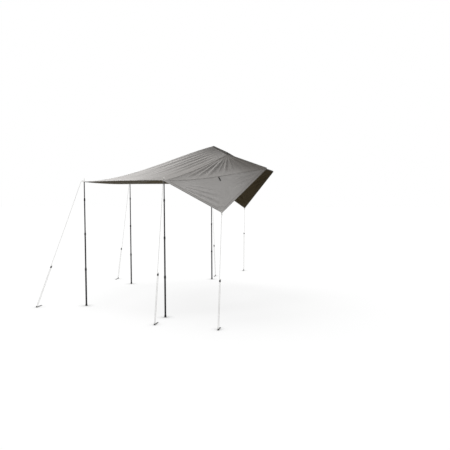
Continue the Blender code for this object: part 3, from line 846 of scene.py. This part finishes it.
def varied(folds, seed):
    """The same folds, shifted a little."""
    chance = random.Random(seed)
    shifted = []
    for corners, narrow, wide, height in folds:
        shift = chance.uniform(-FOLD_SHIFT, FOLD_SHIFT)
        moved = [(u, min(0.98, max(0.02, v + shift))) for u, v in corners]
        widths = narrow * chance.uniform(0.8, 1.3), wide * chance.uniform(0.8, 1.2)
        shifted.append((moved, *widths, height * chance.uniform(0.6, 1.1)))
    return shifted


def panel_heights(name):
    """A panel's folds, flat beside its seams and hems and under the corner patches."""
    kind, _, side = name.partition("_")
    folds = varied(FOLDS[kind], kind) if side == "far" else FOLDS[kind]
    heights = fold_heights(CUTS[name], folds)
    distance = border_distance(GRIDS[name]) - SEAM_REACH[kind]
    for corners in (canopy_corners(one) for one in SIDES):
        for patched in ("outer", "inner", "wing"):
            away = np.linalg.norm(GRIDS[name] - np.array(corners[patched]), axis=-1)
            distance = np.minimum(distance, away - PATCH_REACH)
    return heights * smooth(distance / SEAM_FADE)


# %% [markdown]
# ## One sheet of cloth
#
# The panels' grids become one mesh, with a shared point wherever two panels meet. The folds move
# each point along the cloth's own direction, and each point is given its painted shade: the open
# end is palest, and the gusset and the fastened side, where shade would fall, are darkest. Then
# Solidify gives the cloth its second side, and the second material with it, because the outside is
# grey and the inside is brown, darkened by painted shade.

# %% The sheet
CLOTH = 0.0016  # thickness
# Painted shade of each panel: darkest towards the fastened side and in the gusset.
PAINTED_SHADE = {  # even steps along a panel's grid, in rows across it: 0 is dark and 1 is pale
    "roof": ((0.95, 0.80, 0.65, 0.50), (0.95, 0.80, 0.65, 0.50)),
    "slope": ((1.00, 0.95, 1.05, 0.50), (1.05, 0.75, 0.65, 0.40), (0.95, 0.50, 0.45, 0.45),
              (0.40, 0.30, 0.35, 0.45), (0.40, 0.20, 0.30, 0.40)),
    "gusset": ((0.10, 0.40, 0.45, 0.50), (0.10, 0.40, 0.45, 0.50), (0.10, 0.15, 0.25, 0.40),
               (0.05, -0.05, -0.10, -0.10)),
    "wing": ((1.00, 1.00, 1.00, 1.00), (0.95, 1.00, 0.95, 0.75), (0.90, 0.90, 0.75, 0.30)),
}


def painted_shade_grid(kind, steps):
    """The painted shade of each point of a panel's grid, 0 darkest and 1 palest."""
    along, across = (np.linspace(0, 1, count) for count in steps)
    rows = [np.interp(along, np.linspace(0, 1, len(row)), row) for row in PAINTED_SHADE[kind]]
    return np.array([np.interp(across, np.linspace(0, 1, len(rows)), spots) for spots in zip(*rows)])


def sew(grids, cuts):
    """One mesh from all grids: points, faces, the map's corners, and each grid's point numbers."""
    numbers, points, faces, corners, index = {}, [], [], [], {}
    for name, grid in grids.items():
        spots = np.empty(grid.shape[:2], int)
        for spot in np.ndindex(*spots.shape):
            key = tuple(np.round(grid[spot], 5))
            if key not in numbers:
                numbers[key] = len(points)
                points.append(grid[spot])
            spots[spot] = numbers[key]
        index[name] = spots
        middle = np.cross(grid[-1, 0] - grid[0, 0], grid[-1, -1] - grid[-1, 0])
        around = ((0, 0), (1, 0), (1, 1), (0, 1))
        if middle[2] <= 0:
            around = around[:1] + around[:0:-1]
        for i, j in np.ndindex(spots.shape[0] - 1, spots.shape[1] - 1):
            face = {spots[i + a, j + b]: cuts[name][i + a, j + b] for a, b in around}
            if len(face) > 2:
                faces.append(tuple(int(number) for number in face))
                corners.extend(face.values())
    return np.array(points), faces, np.array(corners), index


def canopy_sheet():
    points, faces, corners, index = sew(GRIDS, CUTS)
    sheet = mesh_object("canopy", points, faces)
    sheet.data.uv_layers.new(name="cloth").data.foreach_set("uv", corners.astype(np.float32).ravel())
    normals = np.zeros(points.shape, np.float32).ravel()
    sheet.data.vertices.foreach_get("normal", normals)
    heights, painted_shade = np.zeros((2, len(points)))
    for name, spots in index.items():
        heights[spots] += panel_heights(name)
        painted_shade[spots] = painted_shade_grid(name.partition("_")[0], spots.shape)
    write_painted_shade(sheet.data, painted_shade)
    points = points + normals.reshape(-1, 3) * heights[:, None]
    sheet.data.vertices.foreach_set("co", points.astype(np.float32).ravel())
    sheet.data.update()
    return sheet


def apply_modifiers(item):
    bpy.ops.object.select_all(action="DESELECT")
    item.select_set(True)
    bpy.context.view_layer.objects.active = item
    for modifier in list(item.modifiers):
        bpy.ops.object.modifier_apply(modifier=modifier.name)


def give_thickness(item, thickness):
    """Adds the cloth's second side, which has the item's second material."""
    solid = item.modifiers.new("thickness", "SOLIDIFY")
    solid.thickness = thickness
    solid.offset = 0
    solid.use_even_offset = False
    solid.material_offset = 1
    apply_modifiers(item)


canopy = canopy_sheet()
CLOTH_SURFACE = BVHTree.FromObject(canopy, bpy.context.evaluated_depsgraph_get())
# TONES and FACE_TONES hold the painted shade of each point and each face.
TONES = [point.value for point in canopy.data.attributes["painted_shade"].data]
FACE_TONES = [TONES[face.vertices[0]] for face in canopy.data.polygons]
canopy.data.materials.append(OUTSIDE_CLOTH)
canopy.data.materials.append(INSIDE_CLOTH_WITH_SHADE)
give_thickness(canopy, CLOTH)
PANEL_NODES = ["roof_panel"]
PANEL_NODES += [f"{kind}_{side}" for kind in ("slope_panel", "gusset", "wing") for side in SIDES]
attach(canopy, "canopy")
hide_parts(*PANEL_NODES)

# %% [markdown]
# ## Hems and seams
#
# A seam or a hem is the same cloth folded over and sewn down, so it stands a little proud and
# carries two rows of stitches, with painted shade along them. Each is a flat band that follows its
# line on the finished, folded cloth, and it carries the same painted shade as the cloth under it.
# It is a closed strip round the cloth, so that it shows on both sides, grey outside and brown inside.

# %% Bands along the cloth
BAND_STEP = 0.025  # spacing of a band's points along it
ROUGH_STEPS = 40  # for measuring a line before it is divided
CORNER_ANGLE = 50  # degrees, from which an edge of a band is sharp
BAND_REACH = 0.011  # how far to each side the cloth's direction is read
SEAM_RISE = 0.0015  # above the middle of the cloth
HEM_RISE = 0.0019


def on_cloth(place):
    """The cloth's place nearest to a place, its outer side's direction there, and its painted shade."""
    hit, normal, face, _ = CLOTH_SURFACE.find_nearest(Vector(place))
    return np.array(hit), np.array(normal), FACE_TONES[face]


def along_line(at, start=0.0, end=1.0):
    """Places along a line, about a band's step apart, and the directions there."""
    rough = at(np.linspace(start, end, ROUGH_STEPS))
    length = np.linalg.norm(np.diff(rough, axis=0), axis=1).sum()
    shares = np.linspace(start, end, max(3, round(length / BAND_STEP) + 1))
    places = at(shares)
    ways = np.gradient(places, axis=0)
    return places, ways / np.linalg.norm(ways, axis=1)[:, None]


def shell(name, pairs, maps, tones):
    """A closed skin round rows of pairs of places. Its second side is material 1."""
    grids = np.moveaxis(np.array(pairs), 2, 0)
    _, rows, columns, _ = grids.shape
    points = grids.reshape(-1, 3)
    numbers = np.arange(len(points)).reshape(2, rows, columns)
    faces, sides = [], []
    for side, i, j in np.ndindex(2, rows - 1, columns - 1):
        n = numbers[side]
        faces.append((n[i, j], n[i + 1, j], n[i + 1, j + 1], n[i, j + 1]))
        sides.append(side)
    rim = [(i, 0) for i in range(rows)]
    rim += [(rows - 1, j) for j in range(1, columns)]
    rim += [(i, columns - 1) for i in range(rows - 2, -1, -1)]
    rim += [(0, j) for j in range(columns - 2, 0, -1)]
    for a, b in zip(rim, rim[1:] + rim[:1]):
        faces.append((numbers[0][a], numbers[0][b], numbers[1][b], numbers[1][a]))
        sides.append(0)
    item = mesh_object(name, points, faces, [*maps, *maps], False, [*tones, *tones])
    item.data.polygons.foreach_set("material_index", sides)
    face_outwards(item)
    item.data.shade_smooth()
    item.data.set_sharp_from_angle(angle=math.radians(CORNER_ANGLE))
    return item


def band(name, at, offsets, toward, rise=SEAM_RISE, edge=0.0, start=0.0, end=1.0):
    """A flat closed strip along a line. The offsets run across it, towards the given place.

    A point at offset 0 is on the line itself, or beyond it by the width that edge gives.
    """
    places, ways = along_line(at, start, end)
    rows, maps, tones, travelled = [], [], [], 0.0
    for number, (place, way) in enumerate(zip(places, ways)):
        travelled += np.linalg.norm(place - places[max(number - 1, 0)])
        beside = np.cross(on_cloth(place)[1], way) * BAND_REACH
        left, right = on_cloth(place + beside), on_cloth(place - beside)
        middle = left[1] + right[1]
        middle /= np.linalg.norm(middle)
        across = np.cross(middle, way)
        across /= np.linalg.norm(across)
        if across @ (np.array(toward) - place) < 0:
            across = -across
        row = []
        for offset in offsets:
            hit, normal, tone = on_cloth(place + across * offset)
            if offset == 0:
                hit, normal, tone = place - across * edge, middle, (left[2] + right[2]) / 2
            row.append((hit + normal * rise, hit - normal * rise))
            maps.append((travelled, offset))
            tones.append(tone)
        rows.append(row)
    return shell(name, rows, maps, tones)


# %% [markdown]
# The stitches are drawn by the material, from the band's own map. Across it they keep to two
# rows, and along it they are short dashes with gaps, each of which pulls the cloth in a little.
# Beside the thread the cloth is darkened by painted shade, where it puckers, less so on the corners,
# which are stretched tight.

# %% Stitched cloth
STITCH = 0.0045  # one stitch and its gap
THREAD_EDGE = (0.0004, 0.0009)  # from a row's middle to where its thread ends
# from a row's middle to where the painted shade beside it ends
SHADE_EDGE = (0.0008, 0.0035)


def stitched_finish(name, colours, thread, rows, roughness=0.82, shade_depth=0.55):
    """Cloth with rows of stitches, and painted shade beside them, which the last argument makes darker.
    """
    finish = Finish(name, roughness)
    along = finish.part(finish.cloth_places(), 0)
    across = finish.part(finish.cloth_places(), 1)
    dash = finish.ramp(finish.wave(along, STITCH), -0.5, -0.1)
    seams = stitch_shade = None
    for row in rows:
        away = (across - row).maths("ABSOLUTE")
        near = 1 - finish.ramp(away, *THREAD_EDGE)
        # Beside each row the cloth gets painted shade, strongest nearest the thread.
        shade_near_row = 1 - finish.ramp(away, *SHADE_EDGE)
        seams = near if seams is None else seams.maths("MAXIMUM", near)
        stitch_shade = shade_near_row if stitch_shade is None else stitch_shade.maths("MAXIMUM", shade_near_row)
    threads = seams * dash
    cloth, _ = cloth_colour(finish, *colours)
    # The cloth is darkened by the painted shade beside the rows.
    shaded = finish.between(stitch_shade * shade_depth, cloth, colours[0])
    finish.use(Base_Color=finish.between(threads, shaded, thread), Specular_IOR_Level=0.3)
    puckers = finish.noise(finish.cloth_places(), 110, 2)
    sewn = threads * 0.0005 - seams * 0.0003 + puckers * 0.0009
    finish.bump(woven(finish) * 0.0002 + sewn, 1.0, 0.7)
    return finish.material


OUTSIDE_THREAD = (0.15, 0.14, 0.13)
INSIDE_THREAD = (0.045, 0.036, 0.022)


def two_sided(name, rows, thread=OUTSIDE_THREAD, shade_depth=0.55):
    """The stitched finishes of a band's two sides."""
    outside = stitched_finish(f"{name}_outside", OUTSIDE, thread, rows, shade_depth=shade_depth)
    return outside, stitched_finish(f"{name}_inside", INSIDE_WITH_SHADE, INSIDE_THREAD, rows, shade_depth=shade_depth)


# %% Seams and hems
SEAM_WIDTH = 0.022
SEAM_ENDS = {"start": 0.015, "end": 0.99}  # shares of its line
SEAM_FINISH = two_sided("seam", (-0.007, 0.007))
HEM_WIDTH = 0.036
HEM_EDGE = 0.0012  # how far a hem stands out beyond the cloth's edge
HEM_FINISH = two_sided("hem", (0.005, 0.031))


def sew_on(item, finishes):
    """Gives a piece its finishes for both sides and makes it ride with the canopy."""
    for finish in finishes:
        item.data.materials.append(finish)
    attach(item, "canopy")
    return item


seam_offsets = [SEAM_WIDTH * share for share in (-0.5, -0.25, 0, 0.25, 0.5)]
hem_offsets = [HEM_WIDTH * share for share in (0, 0.15, 0.5, 1)]
for side in SIDES:
    at = LINES[side]
    middle = at["gusset"](0.5)[0]
    roof_middle = (at["ridge"](0.6)[0] + at["seam"](0.5)[0]) / 2
    for name, path in (("ridge", "ridge"), ("slope", "seam"), ("wing", "gusset")):
        strip = band(f"{name}_seam_{side}", at[path], seam_offsets, roof_middle, **SEAM_ENDS)
        sew_on(strip, SEAM_FINISH)
    hems = (("eave", "eave", roof_middle), ("wing", "hem", middle), ("wing_leech", "leech", middle))
    for name, path, toward in hems:
        hem = band(f"{name}_hem_{side}", at[path], hem_offsets, toward, HEM_RISE, HEM_EDGE)
        sew_on(hem, HEM_FINISH)
front_middle = (LINES["front"](0.5)[0] + LINES["back"](0.5)[0]) / 2
sew_on(band("front_hem", LINES["front"], hem_offsets, front_middle, HEM_RISE, HEM_EDGE), HEM_FINISH)

# %% [markdown]
# ## Reinforced corners and straps
#
# Every corner that is pulled on has a second layer of cloth, cut as a fan round the corner and
# stitched along its rim with thread of nearly its own tone. The fan is laid on the folded cloth
# point by point. Each wing also has a short black strap sewn on near its seam.

# %% Corner patches
FAN_START = 0.003
FAN_RADIUS = 0.105
FAN_RINGS = 8
FAN_STEPS = 8  # between two lines
FAN_RISE = 0.0024
FAN_THREAD = (0.29, 0.28, 0.27)
FAN_FINISH = two_sided("patch", (0.004, 0.010), FAN_THREAD, shade_depth=0.12)
STRAP_ENDS = ((0.51, 0.97), (0.59, 0.76))  # shares along and across the wing
STRAP_WIDTH = 0.020
STRAP_RISE = 0.0030
STRAP_ROWS = (-0.0075, 0.0075)
WEBBING = ((0.012, 0.012, 0.013), (0.026, 0.025, 0.024))
WEBBING_THREAD = (0.05, 0.05, 0.05)
STRAP_FINISH = [stitched_finish("strap", WEBBING, WEBBING_THREAD, STRAP_ROWS, 0.7)] * 2


def from_corner(at, turned_round=False):
    """The line's place at a distance from one of its ends."""
    start, end = at([0.0, 1.0])
    length = np.linalg.norm(end - start)
    return lambda distance: at(1 - distance / length if turned_round else distance / length)[0]


def fan(name, lines):
    """A patch of cloth round a corner, between the lines that start there."""
    corner = lines[0](0.0)
    rows, maps, tones = [], [], []
    for distance in np.linspace(FAN_START, FAN_RADIUS, FAN_RINGS):
        row = []
        for number, (one, other) in enumerate(zip(lines, lines[1:])):
            for share in np.linspace(0, 1, FAN_STEPS + 1)[min(number, 1):]:
                way = one(distance) * (1 - share) + other(distance) * share - corner
                place = corner + way / np.linalg.norm(way) * distance
                hit, normal, tone = on_cloth(place)
                row.append((hit + normal * FAN_RISE, hit - normal * FAN_RISE))
                maps.append((distance * (number + share), FAN_RADIUS - distance))
                tones.append(tone)
        rows.append(row)
    return shell(name, rows, maps, tones)


for side in SIDES:
    at = LINES[side]
    inner = [from_corner(at["eave"], True)]
    inner += [from_corner(at[name]) for name in ("seam", "gusset", "hem")]
    outer = [from_corner(LINES["front"], side == "far")]
    outer += [from_corner(at[name]) for name in ("ridge", "eave")]
    wing = [from_corner(at["hem"], True), from_corner(at["leech"])]
    for name, lines in (("inner", inner), ("outer", outer), ("wing", wing)):
        sew_on(fan(f"{name}_corner_patch_{side}", lines), FAN_FINISH)
    grid = GRIDS[f"wing_{side}"]
    strap = line(*(at_shares(grid, *spot) for spot in STRAP_ENDS))
    offsets = [STRAP_WIDTH * share for share in (-0.5, -0.2, 0.2, 0.5)]
    tab = band(f"strap_tab_{side}", strap, offsets, at["leech"](0.5)[0], STRAP_RISE)
    sew_on(tab, STRAP_FINISH)

# %% [markdown]
# ## Turned pieces
#
# Collars, feet, eyelets and rings are round. Each starts as a circle, which is extruded and scaled
# ring by ring along a profile, as it would be by hand. Where a piece has a bore, the circle is
# left open and its two ends are bridged. Ribs are faces pushed out along their normals, and a
# bevel takes the sharpness off every edge.

# %% Turning a profile
ROUND_SIDES = 48
EDGE_ANGLE = 35  # degrees, from which an edge is bevelled


def turned(name, profile, bored=False):
    """A round piece about Z, from (radius, height) steps."""
    bpy.ops.object.select_all(action="DESELECT")
    radius, height = profile[0]
    bpy.ops.mesh.primitive_circle_add(
        vertices=ROUND_SIDES, radius=radius, location=(0, 0, height),
        fill_type="NOTHING" if bored else "NGON",
    )
    item = bpy.context.object
    item.name = name
    bpy.ops.object.mode_set(mode="EDIT")
    bpy.ops.mesh.select_mode(type="VERT")
    bpy.ops.mesh.select_all(action="SELECT")
    for (last, low), (radius, height) in zip(profile, profile[1:]):
        bpy.ops.mesh.extrude_region_move(TRANSFORM_OT_translate={"value": (0, 0, height - low)})
        scale = (radius / last, radius / last, 1)
        bpy.ops.transform.resize(value=scale, center_override=(0, 0, height))
    if bored:
        bpy.ops.mesh.select_all(action="DESELECT")
        bpy.ops.mesh.select_non_manifold()
        bpy.ops.mesh.bridge_edge_loops()
    bpy.ops.mesh.select_all(action="SELECT")
    bpy.ops.mesh.normals_make_consistent(inside=False)
    bpy.ops.object.mode_set(mode="OBJECT")
    bpy.ops.object.transform_apply(location=True, rotation=True, scale=True)
    return item


def choose_faces(item, test):
    """In edit mode, selects the faces that pass a test of their middle and normal."""
    bpy.ops.mesh.select_mode(type="FACE")
    bpy.ops.mesh.select_all(action="DESELECT")
    work = bmesh.from_edit_mesh(item.data)
    for face in work.faces:
        face.select_set(test(face.calc_center_median(), face.normal))
    bmesh.update_edit_mesh(item.data)


def add_ribs(item, low, high, depth):
    """Pushes out every second face between two heights."""
    def on_a_rib(middle, normal):
        step = int((math.atan2(middle.y, middle.x) / (2 * math.pi) + 1) * ROUND_SIDES + 0.01)
        outward = normal.x * middle.x + normal.y * middle.y > 0
        return bool(low < middle.z < high and outward and abs(normal.z) < 0.5 and step % 2)

    bpy.ops.object.mode_set(mode="EDIT")
    choose_faces(item, on_a_rib)
    bpy.ops.mesh.extrude_faces_move(TRANSFORM_OT_shrink_fatten={"value": depth})
    bpy.ops.object.mode_set(mode="OBJECT")


def soften(item, width):
    """Bevels the edges and smooths what is between them."""
    edges = item.modifiers.new("edges", "BEVEL")
    edges.width = width
    edges.segments = 2
    edges.limit_method = "ANGLE"
    edges.angle_limit = math.radians(EDGE_ANGLE)
    apply_modifiers(item)
    bpy.ops.object.shade_smooth_by_angle(angle=math.radians(EDGE_ANGLE))


def fit(model, name, matrix, finish, body, node=None):
    """A copy of a model, with its own mesh, moved to its place and given its part to play."""
    item = bpy.data.objects.new(name, model.data.copy())
    item.data.transform(matrix)
    item.data.materials.clear()
    item.data.materials.append(finish)
    scene.collection.objects.link(item)
    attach(item, body)
    if node:
        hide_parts(node)
    return item


def discard(model):
    """Says what was copied and removes the model, once its copies are made."""
    print(model.name, len(model.data.polygons), "faces, across", round(model.dimensions.x, 4), "m")
    bpy.data.objects.remove(model)


def along_axis(place, way):
    """Moves a piece to a place and turns its Z to a direction."""
    return Matrix.Translation(place) @ Vector(way).to_track_quat("Z", "Y").to_matrix().to_4x4()


# %% [markdown]
# ## Metal, plastic and rubber
#
# The poles are black, with a fine grain and a few scuffs along them. The parts that are gripped
# are moulded, and the small fittings are plated.

# %% Hard finishes
TAPE_RIB = 0.0026  # spacing of the webbing's ribs
BARE_METAL = (0.62, 0.62, 0.60)
SHOULDER_DEPTH = 0.0035  # of a top tube's shoulder below the fabric
PAINT_EDGE = 0.0004


def coated(name, dark, pale, roughness, shine, grain_size=900, depth=0.00006):
    """Paint, plastic or rubber: a fine grain, and scuffs that run up and down the piece."""
    finish = Finish(name, roughness)
    grain = finish.noise(finish.places(), grain_size, 2)
    scuffs = finish.ramp(finish.noise(finish.scaled(finish.places(), (170, 170, 8)), 1, 3), 0.58, 0.76)
    finish.use(Base_Color=finish.between(grain * 0.4 + scuffs * 0.6, dark, pale))
    finish.use(Roughness=scuffs * 0.14 + grain * 0.06 + (roughness - 0.03))
    finish.use(Specular_IOR_Level=shine)
    finish.bump(grain, depth, 0.6)
    return finish


def plated(name, colour, roughness):
    """Bright plating that has gone dull in clouds, with fine brush lines."""
    finish = Finish(name, roughness, 1.0)
    brushed = finish.noise(finish.scaled(finish.places(), (900, 900, 90)), 1, 2)
    dull = finish.ramp(finish.noise(finish.places(), 60, 3), 0.40, 0.68)
    duller = tuple(part * 0.68 for part in colour)
    finish.use(Base_Color=finish.between(dull, colour, duller), Roughness=brushed * 0.14 + roughness)
    finish.bump(brushed, 0.00004, 0.5)
    return finish


def top_tube_finish(shoulder):
    """Dark grey paint up to the tube's shoulder, and a bare plated spigot above it."""
    finish = coated("top_tube_paint", (0.020, 0.020, 0.021), (0.040, 0.039, 0.038), 0.45, 0.35)
    bare = finish.ramp(finish.part(finish.places(), 2), shoulder - PAINT_EDGE, shoulder + PAINT_EDGE)
    paint = Value(finish, finish.shader.inputs["Base Color"].links[0].from_socket)
    rough = Value(finish, finish.shader.inputs["Roughness"].links[0].from_socket)
    finish.use(Base_Color=finish.between(bare, paint, BARE_METAL), Metallic=bare)
    finish.use(Roughness=rough - bare * 0.14)
    return finish


def tape_finish():
    """Woven webbing: ribs across the tape and a soft fleck."""
    finish = Finish("tape_weave", 0.8)
    here = finish.places()
    along = finish.wave(finish.part(here, 0) + finish.part(here, 2), TAPE_RIB)
    ribs = along.maths("MAXIMUM", finish.wave(finish.part(here, 1), TAPE_RIB))
    flecks = finish.noise(here, 700, 2)
    # Between the ribs the webbing is darker: painted shade.
    tone = flecks * 0.6 + finish.ramp(ribs, -1, 1) * 0.4
    finish.use(Base_Color=finish.between(tone, (0.045, 0.041, 0.036), (0.085, 0.079, 0.071)))
    finish.bump(ribs, 0.0003, 0.8)
    return finish


HARD = {  # darkest and palest colour, roughness, shine, and the size and depth of the grain
    "pole": coated("pole_paint", (0.0085, 0.0085, 0.0090), (0.022, 0.022, 0.022), 0.42, 0.22),
    "collar": coated("collar_nylon", (0.0075, 0.0075, 0.0078), (0.018, 0.018, 0.018), 0.52, 0.25, 600),
    "foot": coated("foot_rubber", (0.013, 0.0125, 0.012), (0.030, 0.029, 0.027), 0.8, 0.15, 400, 0.00012),
    "runner": coated("runner_plastic", (0.012, 0.012, 0.012), (0.028, 0.028, 0.028), 0.5, 0.30, 700),
    "peg": coated("peg_paint", (0.016, 0.016, 0.016), (0.10, 0.097, 0.092), 0.40, 0.35),
    "ring": plated("ring_zinc", (0.60, 0.60, 0.59), 0.26),
    "eyelet": plated("eyelet_nickel", (0.55, 0.53, 0.50), 0.28),
    "top_tube": top_tube_finish(pole_top("outer_near").z - SHOULDER_DEPTH),
    "tape": tape_finish(),
}
HARD = {name: finish.material for name, finish in HARD.items()}


def repaint(node, finish):
    """Gives a CAD node, whose mesh is shown as it is, another finish."""
    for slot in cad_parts[node].material_slots:
        slot.material = finish


for name in POLES:
    repaint(f"{name}_top_tube", HARD["top_tube"])
    for label in ("upper", "lower", "bottom"):
        repaint(f"{name}_{label}_tube", HARD["pole"])
for name in PEGS:
    repaint(f"runner_{name}", HARD["runner"])
    repaint(f"peg_{name}", HARD["peg"])
repaint("attachment_tape", HARD["tape"])
print("hard finishes", len(HARD))

# %% [markdown]
# ## Collars and feet
#
# A collar grips two tubes: the wide half sits on the lower tube and the rim fits the upper one.
# Between two smooth bands it has grip ribs. The rubber foot is a cup with a toothed tread.

# %% Collars and feet
TUBE_RADII = {"top": 0.00795, "upper": 0.0095, "lower": 0.0111, "bottom": 0.0127}
COLLAR_SEAT = 0.028  # how far a collar reaches down over its tube
COLLAR_PLAY = 0.0004  # between a collar and its tubes
FOOT_PLAY = 0.0003


def collar_model(low_tube, high_tube):
    """A collar with its tube's mouth at the origin."""
    low, high = TUBE_RADII[low_tube] + COLLAR_PLAY, TUBE_RADII[high_tube] + COLLAR_PLAY
    wide, narrow = low + 0.0020, high + 0.0014
    item = turned(f"{low_tube}_collar_model", [
        (low, -0.0280), (wide - 0.0007, -0.0280), (wide, -0.0250), (wide, -0.0206),
        (wide - 0.0004, -0.0200), (wide - 0.0004, -0.0020), (wide, -0.0014), (wide, 0.0022),
        (narrow + 0.0003, 0.0120), (narrow, 0.0140), (high, 0.0140), (high, 0.0006), (low, 0.0002),
    ], bored=True)
    add_ribs(item, -0.019, -0.003, 0.0008)
    soften(item, 0.00028)
    return item


def foot_model():
    """A rubber cup with its tread at the origin."""
    cup = TUBE_RADII["bottom"] + FOOT_PLAY
    item = turned("foot_model", [
        (0.0140, 0.0), (0.0153, 0.0006), (0.0158, 0.0018), (0.0158, 0.0080), (0.0154, 0.0092),
        (cup + 0.0020, 0.0134), (cup + 0.0014, 0.0160), (cup + 0.0014, 0.0275), (cup + 0.0019, 0.0285),
        (cup + 0.0019, 0.0312), (cup + 0.0013, 0.0320), (cup, 0.0320), (cup, 0.0062),
    ])
    add_ribs(item, 0.0025, 0.0075, 0.0004)
    soften(item, 0.0003)
    return item


order = list(TUBE_RADII)
for high_tube, low_tube in zip(order, order[1:]):
    model = collar_model(low_tube, high_tube)
    for name in POLES:
        node = f"{name}_{low_tube}_collar"
        mouth = pole_axis(name) + Vector((0, 0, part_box(node)[0].z + COLLAR_SEAT))
        place = Matrix.Translation(mouth)
        fit(model, f"grip_{node}", place, HARD["collar"], f"{name}_{low_tube}_lock", node)
    discard(model)
model = foot_model()
for name in POLES:
    place = Matrix.Translation(pole_axis(name))
    fit(model, f"rubber_{name}_foot", place, HARD["foot"], f"{name}_bottom", f"{name}_foot")
discard(model)

# %% [markdown]
# ## Eyelets and rings
#
# An eyelet is a pressed washer through the cloth, round each spigot and round the hole in each
# wing's corner. The ring that hangs in a wing's corner is bent from wire, with a weld where its
# ends meet.

# %% Eyelets and rings
POLE_EYELET = (0.0047, 0.0120)  # radii of the bore and of the flange
WING_EYELET = (0.0038, 0.0095)
WELD_REACH = 0.0022  # to each side of the ring's Y axis
WELD_RISE = 0.0004


def eyelet_model(bore, reach):
    """A washer pressed through the cloth, which is at the origin."""
    item = turned("eyelet_model", [
        (bore, -0.0012), (reach - 0.0008, -0.0012), (reach, -0.0006), (reach, 0.0026),
        (reach - 0.0012, 0.0035), (bore + 0.0024, 0.0042), (bore + 0.0008, 0.0040), (bore, 0.0030),
    ], bored=True)
    soften(item, 0.0003)
    return item


def ring_model():
    """A welded wire ring about Z. Its weld is on the Y axis."""
    bpy.ops.object.select_all(action="DESELECT")
    bpy.ops.mesh.primitive_torus_add(
        major_segments=64, minor_segments=16, major_radius=RING_RADIUS, minor_radius=RING_WIRE,
    )
    item = bpy.context.object
    bpy.ops.object.mode_set(mode="EDIT")
    choose_faces(item, lambda middle, normal: middle.y > 0 and abs(middle.x) < WELD_REACH)
    bpy.ops.mesh.extrude_region_shrink_fatten(TRANSFORM_OT_shrink_fatten={"value": WELD_RISE})
    bpy.ops.object.mode_set(mode="OBJECT")
    soften(item, 0.0003)
    return item


model = eyelet_model(*POLE_EYELET)
for name in POLES:
    hit, normal, _ = on_cloth(pole_top(name))
    place = along_axis(hit, normal if normal[2] > 0 else -normal)
    fit(model, f"eyelet_{name}", place, HARD["eyelet"], "canopy")
discard(model)
model = eyelet_model(*WING_EYELET)
for side in SIDES:
    hole, outward, _ = wing_eyelet(side)
    place = along_axis(on_cloth(hole)[0], outward)
    fit(model, f"eyelet_wing_{side}", place, HARD["eyelet"], "canopy")
discard(model)
model = ring_model()
for side in SIDES:
    centre, pull, bar = ring_frame(side)
    axes = Matrix((pull, pull.cross(bar).cross(pull), pull.cross(bar))).transposed().to_4x4()
    place = Matrix.Translation(centre) @ axes
    fit(model, f"welded_ring_{side}", place, HARD["ring"], "canopy", f"corner_ring_{side}")
discard(model)

# %% [markdown]
# ## Knots
#
# The eye at a rope's top is closed by a few turns of cord round both strands. The end that comes
# back from the peg has a stopper knot behind the runner.

# %% Knots
KNOT_CORD = 0.95  # of the rope's own radius
KNOT_SIDES = 8
KNOT_STEPS = 16  # in each turn
KNOT_GAP = 0.001  # from the strand's end to the first turn
EYE_KNOT = ((0.0061, 0.0078), 0.0039, 3, 0.0038)  # widths at its ends, depth, turns, pitch
STOPPER_KNOT = ((0.0036, 0.0036), 0.0036, 2.5, 0.0034)
EYE_STRAND = (360 - 2 * EYE_OPENING) // EYE_STEP + 2  # the eye's last point, on its second strand


def coil(name, start, way, across, widths, depth, turns, pitch):
    """Cord wound round a strand or two: an oval helix whose width changes along it."""
    other = way.cross(across)
    steps = round(turns * KNOT_STEPS)
    route = []
    for step in range(steps + 1):
        share, angle = step / steps, 2 * math.pi * turns * step / steps
        width = widths[0] + (widths[1] - widths[0]) * share
        offset = across * (width * math.cos(angle)) + other * (depth * math.sin(angle))
        route.append(start + way * (pitch * turns * share) + offset)
    item = tube(name, route, ROPE_RADIUS * KNOT_CORD, KNOT_SIDES)
    item.data.materials.append(ROPE_FINISH)
    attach(item, "canopy")
    return item


def knots(name):
    """The winding that closes a rope's eye, and the stopper on the strand from its peg."""
    start, whole = rope_start(name), guy_rope(name)
    middle = (start[0] + start[EYE_STRAND]) / 2
    back = ((start[1] + start[EYE_STRAND - 1]) / 2 - middle).normalized()
    across = (start[EYE_STRAND] - start[0]).normalized()
    closing = coil(f"eye_knot_{name}", middle + back * KNOT_GAP, back, across, *EYE_KNOT)
    end, down = whole[-1], (whole[-2] - whole[-1]).normalized()
    across = down.orthogonal().normalized()
    stopper = coil(f"stopper_knot_{name}", end + down * KNOT_GAP, down, across, *STOPPER_KNOT)
    return [closing, stopper]


for name, (rope, route, length) in ropes.items():
    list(knots(name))
print("ropes with their knots", len(ropes))
